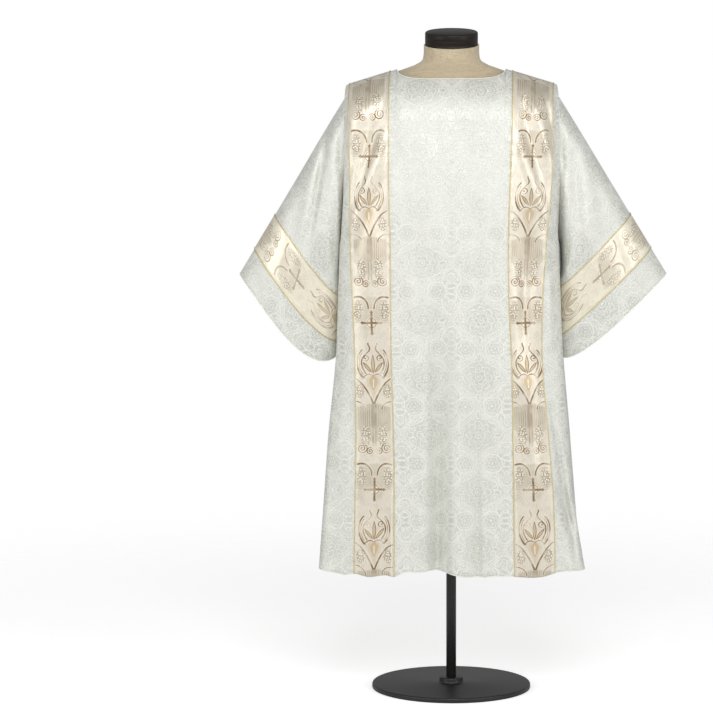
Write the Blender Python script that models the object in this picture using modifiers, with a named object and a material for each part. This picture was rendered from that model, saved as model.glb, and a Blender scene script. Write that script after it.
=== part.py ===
"""Dalmatic worn by a limbless dress form: metres, +Z up, the front faces -Y."""

import math

import bpy
import numpy as np

# Cloth and trim thicknesses, and the clearances between pieces.
WALL = 0.0015
BAND_THICKNESS = 0.0010
EDGING_THICKNESS = 0.0016
EDGING_WIDTH = 0.0030
LAY_GAP = 0.0003
HALF_SEAM = 0.0003
SHOULDER_CLEARANCE = 0.0007
SLEEVE_STANDOFF_TOP = 0.0015
SLEEVE_STANDOFF_UNDERARM = 0.0024

# Heights of the garment above the floor.
SHOULDER_NECK_Z = 1.556
SHOULDER_SLOPE = 0.306
SHOULDER_FOOT_Z = 1.420
UNDERARM_Z = 1.125
HEM_Z = 0.311

# Boat neckline: half its width, and how far it dips in front and at the back.
NECK_HALF_WIDTH = 0.134
NECK_CROWN = 0.003
FRONT_NECK_DROP = 0.027
BACK_NECK_DROP = 0.026

# Armhole seam as it hangs: its widest height, its depth there, and where it starts on the shoulder.
ARMHOLE_WIDEST_Z = 1.320
ARMHOLE_FRONT_DEPTH = 0.088
ARMHOLE_BACK_DEPTH = 0.076
SHOULDER_INNER_X = 0.150
SHOULDER_OUTER_X = 0.2545
SHOULDER_EDGE_X = 0.2590

# Rows of cells down a panel: over the shoulder, down to the underarm, and on to the hem.
SHOULDER_ROWS = 6
ARMHOLE_HEIGHTS = (1.370, 1.310, 1.250, 1.195, 1.150, UNDERARM_Z)
SKIRT_ROWS = 12

# Sections of the front at each height: half widths out to the orphrey's two edges and to the front fold.
FRONT_LINES = {
    "columns": ("z", "left_inner", "left_outer", "left_fold", "right_inner", "right_outer", "right_fold"),
    "rows": (
        (1.42, 0.153, 0.252, 0.2605, 0.147, 0.247, 0.2575),
        (1.30, 0.153, 0.249, 0.2625, 0.143, 0.246, 0.2575),
        (1.125, 0.149, 0.248, 0.271, 0.138, 0.232, 0.258),
        (0.98, 0.148, 0.243, 0.276, 0.140, 0.224, 0.264),
        (0.86, 0.147, 0.238, 0.280, 0.146, 0.223, 0.269),
        (0.65, 0.141, 0.236, 0.300, 0.150, 0.240, 0.284),
        (0.45, 0.140, 0.239, 0.314, 0.153, 0.254, 0.302),
        (0.31, 0.140, 0.241, 0.324, 0.155, 0.257, 0.326),
    ),
}
BACK_LINES = {
    "columns": ("z", "inner", "outer", "fold"),
    "rows": (
        (1.42, 0.150, 0.250, 0.2610),
        (1.30, 0.149, 0.248, 0.2630),
        (1.125, 0.147, 0.246, 0.268),
        (0.86, 0.146, 0.243, 0.276),
        (0.65, 0.147, 0.244, 0.294),
        (0.31, 0.149, 0.247, 0.322),
    ),
}
# How far forward (or back) of the shoulder line the same points stand, and the side seam's half width.
FRONT_DEPTHS = {
    "columns": ("z", "centre", "inner", "outer", "fold"),
    "rows": (
        (1.42, 0.130, 0.127, 0.104, 0.088),
        (1.30, 0.139, 0.136, 0.118, 0.099),
        (1.20, 0.144, 0.141, 0.125, 0.101),
        (1.125, 0.146, 0.143, 0.128, 0.098),
        (0.98, 0.148, 0.146, 0.133, 0.102),
        (0.65, 0.153, 0.151, 0.139, 0.110),
        (0.31, 0.160, 0.157, 0.146, 0.116),
    ),
}
BACK_DEPTHS = {
    "columns": ("z", "centre", "inner", "outer", "fold"),
    "rows": (
        (1.42, 0.108, 0.107, 0.0890, 0.078),
        (1.30, 0.116, 0.115, 0.103, 0.087),
        (1.125, 0.126, 0.125, 0.114, 0.092),
        (0.98, 0.131, 0.130, 0.119, 0.096),
        (0.65, 0.138, 0.137, 0.126, 0.102),
        (0.31, 0.147, 0.145, 0.135, 0.108),
    ),
}
SIDE_SEAM = {
    "columns": ("z", "half_width"),
    "rows": (
        (1.42, 0.2640),
        (1.30, 0.2660),
        (1.20, 0.2655),
        (1.125, 0.2620),
        (0.98, 0.2520),
        (0.86, 0.2540),
        (0.65, 0.2720),
        (0.31, 0.3020),
    ),
}
# Folds hang as troughs (positive depth) or ridges, along a line from its top point to its bottom point.
FRONT_FOLDS = {
    "columns": ("top_x", "top_z", "bottom_x", "bottom_z", "half_width", "depth", "grows_to_hem"),
    "rows": (
        (-0.024, 1.120, -0.034, 0.310, 0.030, 0.020, 1),
        (0.056, 1.180, 0.060, 0.310, 0.020, 0.009, 1),
        (-0.100, 0.760, -0.112, 0.310, 0.022, 0.010, 1),
        (0.115, 0.700, 0.112, 0.310, 0.020, 0.008, 1),
        (0.188, 1.250, 0.184, 0.780, 0.024, 0.020, 0),
        (0.257, 0.560, 0.316, 0.360, 0.013, 0.016, 0),
        (-0.162, 1.500, -0.246, 1.170, 0.016, 0.012, 0),
        (0.164, 1.490, 0.240, 1.210, 0.016, 0.012, 0),
        (-0.285, 0.620, -0.290, 0.310, 0.020, 0.008, 1),
    ),
}
BACK_FOLDS = {
    "columns": ("top_x", "top_z", "bottom_x", "bottom_z", "half_width", "depth", "grows_to_hem"),
    "rows": (
        (0.040, 1.200, 0.050, 0.310, 0.028, 0.018, 1),
        (-0.060, 1.150, -0.070, 0.310, 0.026, 0.016, 1),
        (0.120, 0.800, 0.128, 0.310, 0.024, 0.012, 1),
        (-0.150, 1.480, -0.235, 1.200, 0.018, 0.011, 0),
        (0.155, 1.480, 0.235, 1.220, 0.018, 0.011, 0),
        (-0.190, 0.900, -0.200, 0.310, 0.024, 0.012, 1),
    ),
}
# Sections of a sleeve square to its upper edge: each loop's top and underarm point, how far its middle sags
# outwards and how much of that lies low, and how far it swells to the front and to the back.
SLEEVE_EDGES = {
    "left": ((0.2590, 1.4920), (0.5280, 1.0498)),
    "right": ((0.2575, 1.4990), (0.5340, 1.0498)),
}
LEFT_SLEEVE = {
    "columns": ("along", "bottom_x", "bottom_z", "sag", "skew", "front", "back"),
    "rows": (
        (0.000, 0.2720, 1.1180, 0.009, 0.0, 0.088, 0.076),
        (0.220, 0.2730, 1.0600, 0.015, 0.0, 0.098, 0.087),
        (0.440, 0.2720, 1.0280, 0.012, 0.4, 0.097, 0.088),
        (0.662, 0.2700, 0.9990, 0.0105, 0.8, 0.088, 0.082),
        (0.859, 0.2760, 0.8880, 0.024, 0.65, 0.074, 0.070),
        (1.000, 0.2790, 0.8530, 0.044, 0.82, 0.066, 0.062),
    ),
}
RIGHT_SLEEVE = {
    "columns": ("along", "bottom_x", "bottom_z", "sag", "skew", "front", "back"),
    "rows": (
        (0.000, 0.2720, 1.1180, 0.009, 0.0, 0.088, 0.076),
        (0.220, 0.2730, 1.0660, 0.013, 0.0, 0.097, 0.087),
        (0.440, 0.2700, 1.0400, 0.008, 0.0, 0.096, 0.088),
        (0.662, 0.2660, 1.0180, 0.0045, 0.0, 0.087, 0.082),
        (0.859, 0.2680, 0.8940, 0.0055, 0.1, 0.074, 0.070),
        (1.000, 0.2700, 0.8470, 0.0205, 0.80, 0.066, 0.062),
    ),
}
LEFT_SLEEVE_FOLDS = {
    "columns": ("top_x", "top_z", "bottom_x", "bottom_z", "half_width", "depth", "grows_to_hem"),
    "rows": (
        (0.306, 1.400, 0.356, 1.110, 0.014, 0.014, 0),
        (0.330, 1.150, 0.318, 0.880, 0.018, 0.006, 0),
    ),
}
RIGHT_SLEEVE_FOLDS = {
    "columns": ("top_x", "top_z", "bottom_x", "bottom_z", "half_width", "depth", "grows_to_hem"),
    "rows": (
        (0.300, 1.380, 0.330, 1.060, 0.013, 0.010, 0),
        (0.345, 1.330, 0.400, 1.080, 0.014, 0.008, 0),
    ),
}
# Where the loops of a sleeve stand along its upper edge; the band lies between the two bold stations.
SLEEVES = {"left": (LEFT_SLEEVE, LEFT_SLEEVE_FOLDS), "right": (RIGHT_SLEEVE, RIGHT_SLEEVE_FOLDS)}
ARMHOLE_REACH = 0.44
BAND_START = 0.662
BAND_END = 0.859
PLAIN_STATIONS = (0.0, 0.11, 0.22, 0.33, 0.44, 0.55)
CUFF_STATIONS = (0.93, 1.0)
BAND_CELLS = 3

# Cells across one half of a panel, as shares of each stretch.
FRONT_CENTRE_SHARES = (0.0, 0.19, 0.38, 0.56, 0.73, 0.885)
BACK_CENTRE_SHARES = (0.0, 0.33, 0.62, 0.885)
FRONT_BAND_CELLS = 3
BACK_BAND_CELLS = 2
MARGIN_SHARES = (0.5, 1.0)
FRONT_SIDE_SHARES = (0.33, 0.67, 1.0)
BACK_SIDE_SHARES = (0.5, 1.0)

# Dress form: rings of the torso with their depths before and behind the shoulder line, the neck, and the stand.
TORSO_RINGS = {
    "columns": ("z", "half_width", "front", "back", "squareness"),
    "rows": (
        (0.860, 0.152, 0.102, 0.098, 2.2),
        (0.866, 0.158, 0.108, 0.104, 2.2),
        (0.950, 0.166, 0.117, 0.111, 2.3),
        (1.040, 0.148, 0.113, 0.099, 2.3),
        (1.120, 0.137, 0.109, 0.089, 2.3),
        (1.210, 0.150, 0.115, 0.091, 2.4),
        (1.310, 0.170, 0.121, 0.095, 2.5),
        (1.400, 0.186, 0.114, 0.094, 2.5),
        (1.470, 0.195, 0.098, 0.084, 2.3),
        (1.510, 0.197, 0.082, 0.069, 2.1),
        (1.5285, 0.1930, 0.070, 0.057, 1.8),
    ),
}
SHOULDER_RIDGE_RINGS = {
    "columns": ("half_width", "front", "back", "squareness"),
    "rows": (
        (0.1865, 0.067, 0.054, 1.6),
        (0.1600, 0.065, 0.051, 1.5),
        (0.1340, 0.064, 0.049, 1.5),
    ),
}
NECK_RINGS = {
    "columns": ("z", "half_width", "front", "back", "tilt_share"),
    "rows": (
        (1.5660, 0.0930, 0.068, 0.051, 0.0),
        (1.5770, 0.0745, 0.072, 0.054, 0.1),
        (1.5920, 0.0695, 0.076, 0.057, 0.5),
        (1.6150, 0.0690, 0.079, 0.059, 1.0),
    ),
}
NECK_CENTRE_Y = -0.010
NECK_TILT = math.radians(9.5)
RING_POINTS = 32
CAP_RADIUS = 0.0655
CAP_HEIGHT = 0.0340
CAP_ROUNDING = 0.0080
POLE_RADIUS = 0.0125
BASE_RADIUS = 0.2000
BASE_THICKNESS = 0.0120
HUB_RADIUS = 0.0300
HUB_HEIGHT = 0.0260
STAND_STEPS = 40
POLE_STEPS = 16


def table_columns(table):
    """Each named column of a table as an array."""
    values = np.array(table["rows"], float)
    return {name: values[:, i] for i, name in enumerate(table["columns"])}


def smooth(knots, values, at):
    """A curve through the values, with no overshoot at the ends; knots run up or down."""
    knots = np.asarray(knots, float)
    values = np.asarray(values, float)
    if knots[0] > knots[-1]:
        knots = knots[::-1]
        values = values[::-1]
    at = np.clip(np.asarray(at, float), knots[0], knots[-1])
    steps = np.diff(knots)
    slopes = np.diff(values) / steps
    tangents = np.empty_like(values)
    tangents[0] = slopes[0]
    tangents[-1] = slopes[-1]
    weights = steps[1:] + steps[:-1]
    tangents[1:-1] = (slopes[:-1] * steps[1:] + slopes[1:] * steps[:-1]) / weights
    cell = np.clip(np.searchsorted(knots, at, side="right") - 1, 0, len(steps) - 1)
    t = (at - knots[cell]) / steps[cell]
    rise = values[cell + 1] - values[cell]
    start = tangents[cell] * steps[cell]
    end = tangents[cell + 1] * steps[cell]
    return values[cell] + t * start + t * t * (3 * rise - 2 * start - end) + t**3 * (start + end - 2 * rise)


def read(table, name, z):
    columns = table_columns(table)
    return float(smooth(columns["z"], columns[name], z))


def shoulder_z(x):
    """Height of the shoulder line over a half width."""
    if x > NECK_HALF_WIDTH:
        return SHOULDER_NECK_Z - SHOULDER_SLOPE * (x - NECK_HALF_WIDTH)
    return SHOULDER_NECK_Z + NECK_CROWN * (1 - (x / NECK_HALF_WIDTH) ** 2)


def neck_drop(x, most):
    """How far the neckline lies below the shoulder line's height."""
    if x >= NECK_HALF_WIDTH:
        return 0.0
    return most * math.sqrt(1 - (x / NECK_HALF_WIDTH) ** 4)


def armhole_depth(z, most):
    """How far the armhole seam stands off the shoulder line, front or back."""
    if z <= UNDERARM_Z + 1e-6:
        return 0.0
    if z > ARMHOLE_WIDEST_Z:
        return most * smooth((ARMHOLE_WIDEST_Z, SHOULDER_FOOT_Z), (1.0, 0.93), z)
    share = (ARMHOLE_WIDEST_Z - z) / (ARMHOLE_WIDEST_Z - UNDERARM_Z)
    return most * math.sqrt(max(0.0, 1 - share * share))


def fold_depth(folds, x, z):
    """Sum of the troughs and ridges at one point of a surface."""
    total = 0.0
    for top_x, top_z, bottom_x, bottom_z, half_width, depth, grows in folds["rows"]:
        share = (top_z - z) / (top_z - bottom_z)
        if share <= 0.0 or share >= 1.0 + 1e-3 and not grows:
            continue
        centre = top_x + (bottom_x - top_x) * share
        along = math.sin(0.5 * math.pi * min(share, 1.0)) if grows else math.sin(math.pi * share)
        total += depth * along * math.exp(-(((x - centre) / half_width) ** 2))
    return total


def curve_through(points, shares):
    """Points on a smooth curve through the section's points; a share of 2.5 is midway from point 2 to point 3."""
    points = np.asarray(points, float)
    lengths = np.linalg.norm(np.diff(points, axis=0), axis=1)
    knots = np.concatenate([[0.0], np.cumsum(np.maximum(lengths, 1e-6))])
    at = np.interp(shares, np.arange(len(points)), knots)
    return np.stack([smooth(knots, points[:, 0], at), smooth(knots, points[:, 1], at)], axis=1)


class Panel:
    """One panel's middle surface, as points[row, column], with the columns of its orphreys by side."""

    def __init__(self, front):
        self.front = front
        self.sign = -1.0 if front else 1.0
        self.folds = FRONT_FOLDS if front else BACK_FOLDS
        self.depths = FRONT_DEPTHS if front else BACK_DEPTHS
        self.neck_most = FRONT_NECK_DROP if front else BACK_NECK_DROP
        self.armhole_most = ARMHOLE_FRONT_DEPTH if front else ARMHOLE_BACK_DEPTH
        left = self.half("left")
        right = self.half("right")
        self.points = np.concatenate([left[:, :0:-1], right], axis=1)
        self.centre = left.shape[1] - 1

    def shares(self):
        """Where the columns of one half stand on its section, and the orphrey's edge columns."""
        centre = FRONT_CENTRE_SHARES if self.front else BACK_CENTRE_SHARES
        side = FRONT_SIDE_SHARES if self.front else BACK_SIDE_SHARES
        cells = FRONT_BAND_CELLS if self.front else BACK_BAND_CELLS
        edge = EDGING_WIDTH / (SHOULDER_OUTER_X - SHOULDER_INNER_X)
        band = [1.0, 1.0 + edge]
        band += [1.0 + edge + (1 - 2 * edge) * i / cells for i in range(1, cells + 1)]
        band += [2.0]
        self.inner_column = len(centre)
        self.outer_column = len(centre) + len(band) - 1
        return np.array([*centre, *band, *(2.0 + s for s in MARGIN_SHARES), *(3.0 + s for s in side)])

    def lines(self, side, z):
        """Half widths of the orphrey's edges, the fold and the side seam at one height."""
        if self.front:
            found = [read(FRONT_LINES, f"{side}_{name}", z) for name in ("inner", "outer", "fold")]
        else:
            found = [read(BACK_LINES, name, z) for name in ("inner", "outer", "fold")]
        return found + [read(SIDE_SEAM, "half_width", z)]

    def section(self, side, z):
        """The five (half width, depth) points that a level section runs through."""
        inner, outer, fold, seam = self.lines(side, z)
        depth = [read(self.depths, name, z) for name in ("centre", "inner", "outer", "fold")]
        seam_depth = armhole_depth(z, self.armhole_most)
        return [(0.0, depth[0]), (inner, depth[1]), (outer, depth[2]), (fold, depth[3]), (seam, seam_depth)]

    def half(self, side):
        shares = self.shares()
        mirror = -1.0 if side == "left" else 1.0
        foot = curve_through(self.section(side, SHOULDER_FOOT_Z), shares)
        top_line = [(0.0, 0.0), (SHOULDER_INNER_X, 0.0), (SHOULDER_OUTER_X, 0.0)]
        top_line += [((SHOULDER_OUTER_X + SHOULDER_EDGE_X) / 2, 0.0), (SHOULDER_EDGE_X, 0.0)]
        top_x = curve_through(top_line, shares)[:, 0]
        rows = []
        for row in range(SHOULDER_ROWS + 1):
            rows.append([self.shoulder_point(x, end, row / SHOULDER_ROWS) for x, end in zip(top_x, foot)])
        heights = list(ARMHOLE_HEIGHTS)
        heights += [UNDERARM_Z + (HEM_Z - UNDERARM_Z) * i / SKIRT_ROWS for i in range(1, SKIRT_ROWS + 1)]
        for z in heights:
            level = curve_through(self.section(side, z), shares)
            rows.append([(x, depth, z) for x, depth in level])
        grid = np.array(rows)
        for point in grid.reshape(-1, 3):
            hang = min(1.0, max(0.0, point[1] - HALF_SEAM) / 0.06)
            point[1] -= hang * fold_depth(self.folds, mirror * point[0], point[2])
            point[1] = max(point[1], HALF_SEAM)
        grid[:, :, 0] *= mirror
        grid[:, :, 1] *= self.sign
        return grid

    def shoulder_point(self, top_x, foot, share):
        """A point on the curve that a column follows over the shoulder, from its top to the foot height."""
        ridge = shoulder_z(top_x)
        height = ridge - SHOULDER_FOOT_Z
        start = math.acos(1 - neck_drop(top_x, self.neck_most) / height)
        angle = start + (math.pi / 2 - start) * share
        foot_x, foot_depth = foot
        x = top_x + (foot_x - top_x) * math.sin(angle)
        return (x, foot_depth * math.sin(angle), ridge - height * (1 - math.cos(angle)))

    def armhole(self, side):
        """The seam's points from the shoulder to the underarm."""
        column = 0 if side == "left" else -1
        return self.points[: SHOULDER_ROWS + len(ARMHOLE_HEIGHTS) + 1, column]

    def band_columns(self, side):
        """Column numbers of the orphrey, from its inner edge outwards."""
        step = -1 if side == "left" else 1
        return [self.centre + step * i for i in range(self.inner_column, self.outer_column + 1)]


def sleeve_station(table, along):
    columns = table_columns(table)
    return {name: float(smooth(columns["along"], columns[name], along)) for name in columns}


def seam_profile(seam, half):
    """How low each point of an armhole seam lies and how far it swells, as shares of the seam's height and depth."""
    drop = (seam[0, 2] - seam[:, 2]) / (seam[0, 2] - seam[half, 2])
    most = np.where(np.arange(len(seam)) < half, -seam[:, 1].min(), seam[:, 1].max())
    return drop, np.abs(seam[:, 1]) / most


def sleeve_loop(side, along, angles, profile):
    """Points round one loop; angles run from the upper edge down the front to the underarm and up the back."""
    table, folds = SLEEVES[side]
    station = sleeve_station(table, along)
    settled = smooth((0.0, ARMHOLE_REACH), (0.0, 1.0), min(along, ARMHOLE_REACH))
    start, end = np.array(SLEEVE_EDGES[side])
    top = start + (end - start) * along
    bottom = np.array([station["bottom_x"], station["bottom_z"]])
    chord = bottom - top
    outwards = np.array([-chord[1], chord[0]]) / np.linalg.norm(chord)
    loop = []
    for angle, seam_drop, seam_swell in zip(angles, *profile):
        lean = 1 - station["skew"] * math.cos(angle if angle <= math.pi else 2 * math.pi - angle)
        drop = seam_drop + ((1 - math.cos(angle)) / 2 - seam_drop) * settled
        x, z = top + chord * drop + outwards * station["sag"] * abs(math.sin(angle)) ** 0.85 * lean
        swell = seam_swell + (abs(math.sin(angle)) ** 0.7 - seam_swell) * settled
        depth = swell * (station["front"] if angle < math.pi else station["back"])
        if angle < math.pi:
            depth -= min(1.0, depth / 0.05) * fold_depth(folds, x, z)
        loop.append((x, -depth if angle < math.pi else depth, z))
    return np.array(loop)


def sleeve_grid(side, front, back):
    """A sleeve's middle surface as points[loop, round], the stations of its loops, and the side's mirror."""
    mirror = -1.0 if side == "left" else 1.0
    seam = np.concatenate([front.armhole(side), back.armhole(side)[-2:0:-1]]) * (mirror, 1, 1)
    half = len(front.armhole(side)) - 1
    angles = [math.pi * i / half for i in range(2 * half)]
    standoff = [
        SLEEVE_STANDOFF_TOP + (SLEEVE_STANDOFF_UNDERARM - SLEEVE_STANDOFF_TOP) * (1 - math.cos(a)) / 2
        for a in angles
    ]
    seam[:, 0] += standoff
    seam[0, 1] = 0.0
    seam[half, 1] = 0.0
    edge_length = math.dist(*SLEEVE_EDGES[side])
    trim = EDGING_WIDTH / edge_length
    inside = [BAND_START + trim + (BAND_END - BAND_START - 2 * trim) * i / BAND_CELLS for i in range(BAND_CELLS + 1)]
    stations = [*PLAIN_STATIONS, BAND_START, *inside, BAND_END, *CUFF_STATIONS]
    profile = seam_profile(seam, half)
    loops = [seam] + [sleeve_loop(side, along, angles, profile) for along in stations]
    grid = np.array(loops)
    grid[:, :, 0] *= mirror
    return grid, [None, *stations]


def surface_normals(grid, closed, outwards):
    """Unit normals at the points of a grid; outwards is +1 or -1."""
    down = np.gradient(grid, axis=0)
    if closed:
        across = (np.roll(grid, -1, axis=1) - np.roll(grid, 1, axis=1)) / 2
    else:
        across = np.gradient(grid, axis=1)
    found = np.cross(down, across) * outwards
    return found / np.linalg.norm(found, axis=2, keepdims=True)


def material(name, colour, roughness, metallic=0.0):
    made = bpy.data.materials.new(name)
    made.use_nodes = True
    shader = made.node_tree.nodes["Principled BSDF"]
    shader.inputs["Base Color"].default_value = (*colour, 1.0)
    shader.inputs["Roughness"].default_value = roughness
    shader.inputs["Metallic"].default_value = metallic
    return made


def add_object(name, mesh, collection, surface):
    mesh.materials.append(surface)
    made = bpy.data.objects.new(name, mesh)
    collection.objects.link(made)
    return made


def cloth(name, grid, closed, flip, thickness, offset, collection, surface):
    """A grid of points skinned as an open sheet, thickened to a wall."""
    rows, columns = grid.shape[:2]
    faces = []
    for i in range(rows - 1):
        for j in range(columns if closed else columns - 1):
            k = (j + 1) % columns
            face = (i * columns + j, (i + 1) * columns + j, (i + 1) * columns + k, i * columns + k)
            faces.append(face[::-1] if flip else face)
    mesh = bpy.data.meshes.new(name)
    mesh.from_pydata([tuple(p) for p in grid.reshape(-1, 3)], [], faces)
    mesh.shade_smooth()
    made = add_object(name, mesh, collection, surface)
    solid = made.modifiers.new("Wall", "SOLIDIFY")
    solid.thickness = thickness
    solid.offset = offset
    return made


def laid_strip(grid, normals, columns, trims):
    """Points of a strip that lies on the cloth between columns, its long edges drawn in by the trims."""
    points = grid[:, columns] + normals[:, columns] * (WALL / 2 + LAY_GAP)
    for edge, inside, trim in ((0, 1, trims[0]), (-1, -2, trims[1])):
        inwards = points[:, inside] - points[:, edge]
        points[:, edge] += inwards / np.linalg.norm(inwards, axis=1, keepdims=True) * trim
    return points


def build_panel_trim(panel, side, collection, band_surface, edging_surface):
    where = "front" if panel.front else "back"
    grid = panel.points
    outwards = 1.0 if panel.front else -1.0
    normals = surface_normals(grid, False, outwards)
    columns = panel.band_columns(side)
    flip = (panel.front and side == "left") or (not panel.front and side == "right")
    band = laid_strip(grid, normals, columns[1:-1], (LAY_GAP, LAY_GAP))
    cloth(f"orphrey_{where}_{side}", band, False, flip, BAND_THICKNESS, 1, collection, band_surface)
    for label, pair in (("inner", columns[:2]), ("outer", columns[-2:])):
        strip = laid_strip(grid, normals, pair, (0.0, 0.0))
        name = f"edging_{where}_{side}_{label}"
        cloth(name, strip, False, flip, EDGING_THICKNESS, 1, collection, edging_surface)


def build_sleeve(side, front, back, collection, surfaces):
    grid, stations = sleeve_grid(side, front, back)
    outwards = 1.0 if side == "left" else -1.0
    flip = side == "right"
    cloth(f"sleeve_{side}", grid, True, flip, WALL, 0, collection, surfaces["damask"])
    normals = surface_normals(grid, True, outwards)
    first = stations.index(BAND_START)
    last = stations.index(BAND_END)
    lifted = grid + normals * (WALL / 2 + LAY_GAP)
    pieces = (
        (f"sleeve_band_{side}", first + 1, last - 1, LAY_GAP, BAND_THICKNESS, "orphrey"),
        (f"edging_sleeve_{side}_upper", first, first + 1, 0.0, EDGING_THICKNESS, "gold"),
        (f"edging_sleeve_{side}_lower", last - 1, last, 0.0, EDGING_THICKNESS, "gold"),
    )
    for name, start, end, trim, thickness, surface in pieces:
        ring = lifted[start : end + 1].copy()
        for edge, inside in ((0, 1), (-1, -2)):
            inwards = ring[inside] - ring[edge]
            ring[edge] += inwards / np.linalg.norm(inwards, axis=1, keepdims=True) * trim
        cloth(name, ring, True, flip, thickness, 1, collection, surfaces[surface])


def ring_points(half_width, front, back, power, z, tilt):
    """A level ring of the form, or one slanted about the neck's middle."""
    points = []
    for i in range(RING_POINTS):
        angle = 2 * math.pi * i / RING_POINTS
        c, s = math.cos(angle), math.sin(angle)
        x = half_width * math.copysign(abs(c) ** (2 / power), c)
        y = (back if s > 0 else front) * math.copysign(abs(s) ** (2 / power), s)
        points.append((x, y, z + (y - NECK_CENTRE_Y) * math.tan(tilt)))
    return points


def build_torso(collection, surface):
    """The form's body, lofted through its rings up to the slanted top of the neck."""
    rings = [ring_points(width, front, back, power, z, 0.0) for z, width, front, back, power in TORSO_RINGS["rows"]]
    under_cloth = (WALL / 2 + SHOULDER_CLEARANCE) * math.hypot(1, SHOULDER_SLOPE)
    for width, front, back, power in SHOULDER_RIDGE_RINGS["rows"]:
        rings.append(ring_points(width, front, back, power, shoulder_z(width) - under_cloth, 0.0))
    for z, width, front, back, share in NECK_RINGS["rows"]:
        rings.append(ring_points(width, front, back, 2.0, z, NECK_TILT * share))
    points = [p for ring in rings for p in ring]
    count = RING_POINTS
    faces = [tuple(range(count))[::-1], tuple(range((len(rings) - 1) * count, len(rings) * count))]
    for i in range(len(rings) - 1):
        for j in range(count):
            k = (j + 1) % count
            faces.append((i * count + j, i * count + k, (i + 1) * count + k, (i + 1) * count + j))
    mesh = bpy.data.meshes.new("form_torso")
    mesh.from_pydata(points, [], faces)
    mesh.shade_smooth()
    return add_object("form_torso", mesh, collection, surface)


def turned(name, profile, steps, collection, surface):
    """A solid of revolution about Z from (radius, height) points, listed from the top down."""
    mesh = bpy.data.meshes.new(name)
    mesh.from_pydata([(r, 0.0, z) for r, z in profile], [(i, i + 1) for i in range(len(profile) - 1)], [])
    made = add_object(name, mesh, collection, surface)
    screw = made.modifiers.new("Turn", "SCREW")
    screw.steps = steps
    screw.render_steps = steps
    screw.use_merge_vertices = True
    screw.merge_threshold = 0.0001
    return made


def rounded_corner(radius, height, rounding, inwards, steps=3):
    """Points round an outer corner of a turned profile, at the top (inwards 1) or the bottom (inwards -1)."""
    points = []
    for i in range(steps + 1):
        angle = math.pi / 2 * i / steps
        out = math.sin(angle) if inwards > 0 else math.cos(angle)
        up = math.cos(angle) if inwards > 0 else math.sin(angle)
        points.append((radius - rounding * (1 - out), height - inwards * rounding * (1 - up)))
    return points


def build_stand(collection, surfaces):
    torso_bottom = TORSO_RINGS["rows"][0][0]
    base = [(0.0, HUB_HEIGHT), *rounded_corner(HUB_RADIUS, HUB_HEIGHT, 0.004, 1)]
    base += [(HUB_RADIUS + 0.004, BASE_THICKNESS + 0.002)]
    base += rounded_corner(BASE_RADIUS, BASE_THICKNESS, 0.004, 1)
    base += [(BASE_RADIUS, 0.0), (0.0, 0.0)]
    turned("stand_base", base, STAND_STEPS, collection, surfaces["metal"])
    foot = HUB_HEIGHT + LAY_GAP
    pole = [(0.0, torso_bottom - LAY_GAP), (POLE_RADIUS, torso_bottom - LAY_GAP), (POLE_RADIUS, foot), (0.0, foot)]
    turned("stand_pole", pole, POLE_STEPS, collection, surfaces["metal"])
    cap = [(0.0, CAP_HEIGHT), *rounded_corner(CAP_RADIUS, CAP_HEIGHT, CAP_ROUNDING, 1), (CAP_RADIUS, 0.0), (0.0, 0.0)]
    cap_object = turned("form_neck_cap", cap, RING_POINTS, collection, surfaces["cap"])
    cap_object.location.y = NECK_CENTRE_Y
    cap_object.location.z = NECK_RINGS["rows"][-1][0] + LAY_GAP / math.cos(NECK_TILT)
    cap_object.rotation_euler.x = NECK_TILT


def main():
    for old in list(bpy.data.objects):
        bpy.data.objects.remove(old, do_unlink=True)
    collection = bpy.data.collections.new("dalmatic_on_form")
    bpy.context.scene.collection.children.link(collection)
    surfaces = {
        "damask": material("ivory_damask", (0.80, 0.81, 0.76), 0.55),
        "orphrey": material("champagne_orphrey", (0.68, 0.60, 0.46), 0.45),
        "gold": material("gold_edging", (0.72, 0.56, 0.30), 0.40),
        "linen": material("form_linen", (0.58, 0.48, 0.34), 0.85),
        "cap": material("black_lacquer", (0.02, 0.018, 0.016), 0.35),
        "metal": material("black_painted_steel", (0.02, 0.02, 0.02), 0.40),
    }
    front = Panel(front=True)
    back = Panel(front=False)
    cloth("front_panel", front.points, False, False, WALL, 0, collection, surfaces["damask"])
    cloth("back_panel", back.points, False, True, WALL, 0, collection, surfaces["damask"])
    for side in ("left", "right"):
        build_sleeve(side, front, back, collection, surfaces)
        for panel in (front, back):
            build_panel_trim(panel, side, collection, surfaces["orphrey"], surfaces["gold"])
    build_torso(collection, surfaces["linen"])
    build_stand(collection, surfaces)


main()
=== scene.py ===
"""Dressed model of an ivory damask dalmatic on its dress form: metres, +Z up, the front faces -Y."""

import ast
import math
from functools import cache

import bpy
import numpy as np
from bpy.props import FloatProperty, FloatVectorProperty, PointerProperty
from mathutils import Matrix, Vector


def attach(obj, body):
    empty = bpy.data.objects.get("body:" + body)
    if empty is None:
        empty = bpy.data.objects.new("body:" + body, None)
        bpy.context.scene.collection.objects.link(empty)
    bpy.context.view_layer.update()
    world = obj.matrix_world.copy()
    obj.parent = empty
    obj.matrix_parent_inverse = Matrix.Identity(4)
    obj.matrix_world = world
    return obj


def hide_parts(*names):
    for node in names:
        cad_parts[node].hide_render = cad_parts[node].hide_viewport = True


bl_info = {
    "name": "Dalmatic on a dress form",
    "version": (1, 0, 0),
    "blender": (4, 5, 0),
    "location": "View3D > Sidebar > Dalmatic",
    "description": "Sews a damask dalmatic with brocade orphreys and stands it on a dress form",
    "category": "Object",
}

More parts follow.
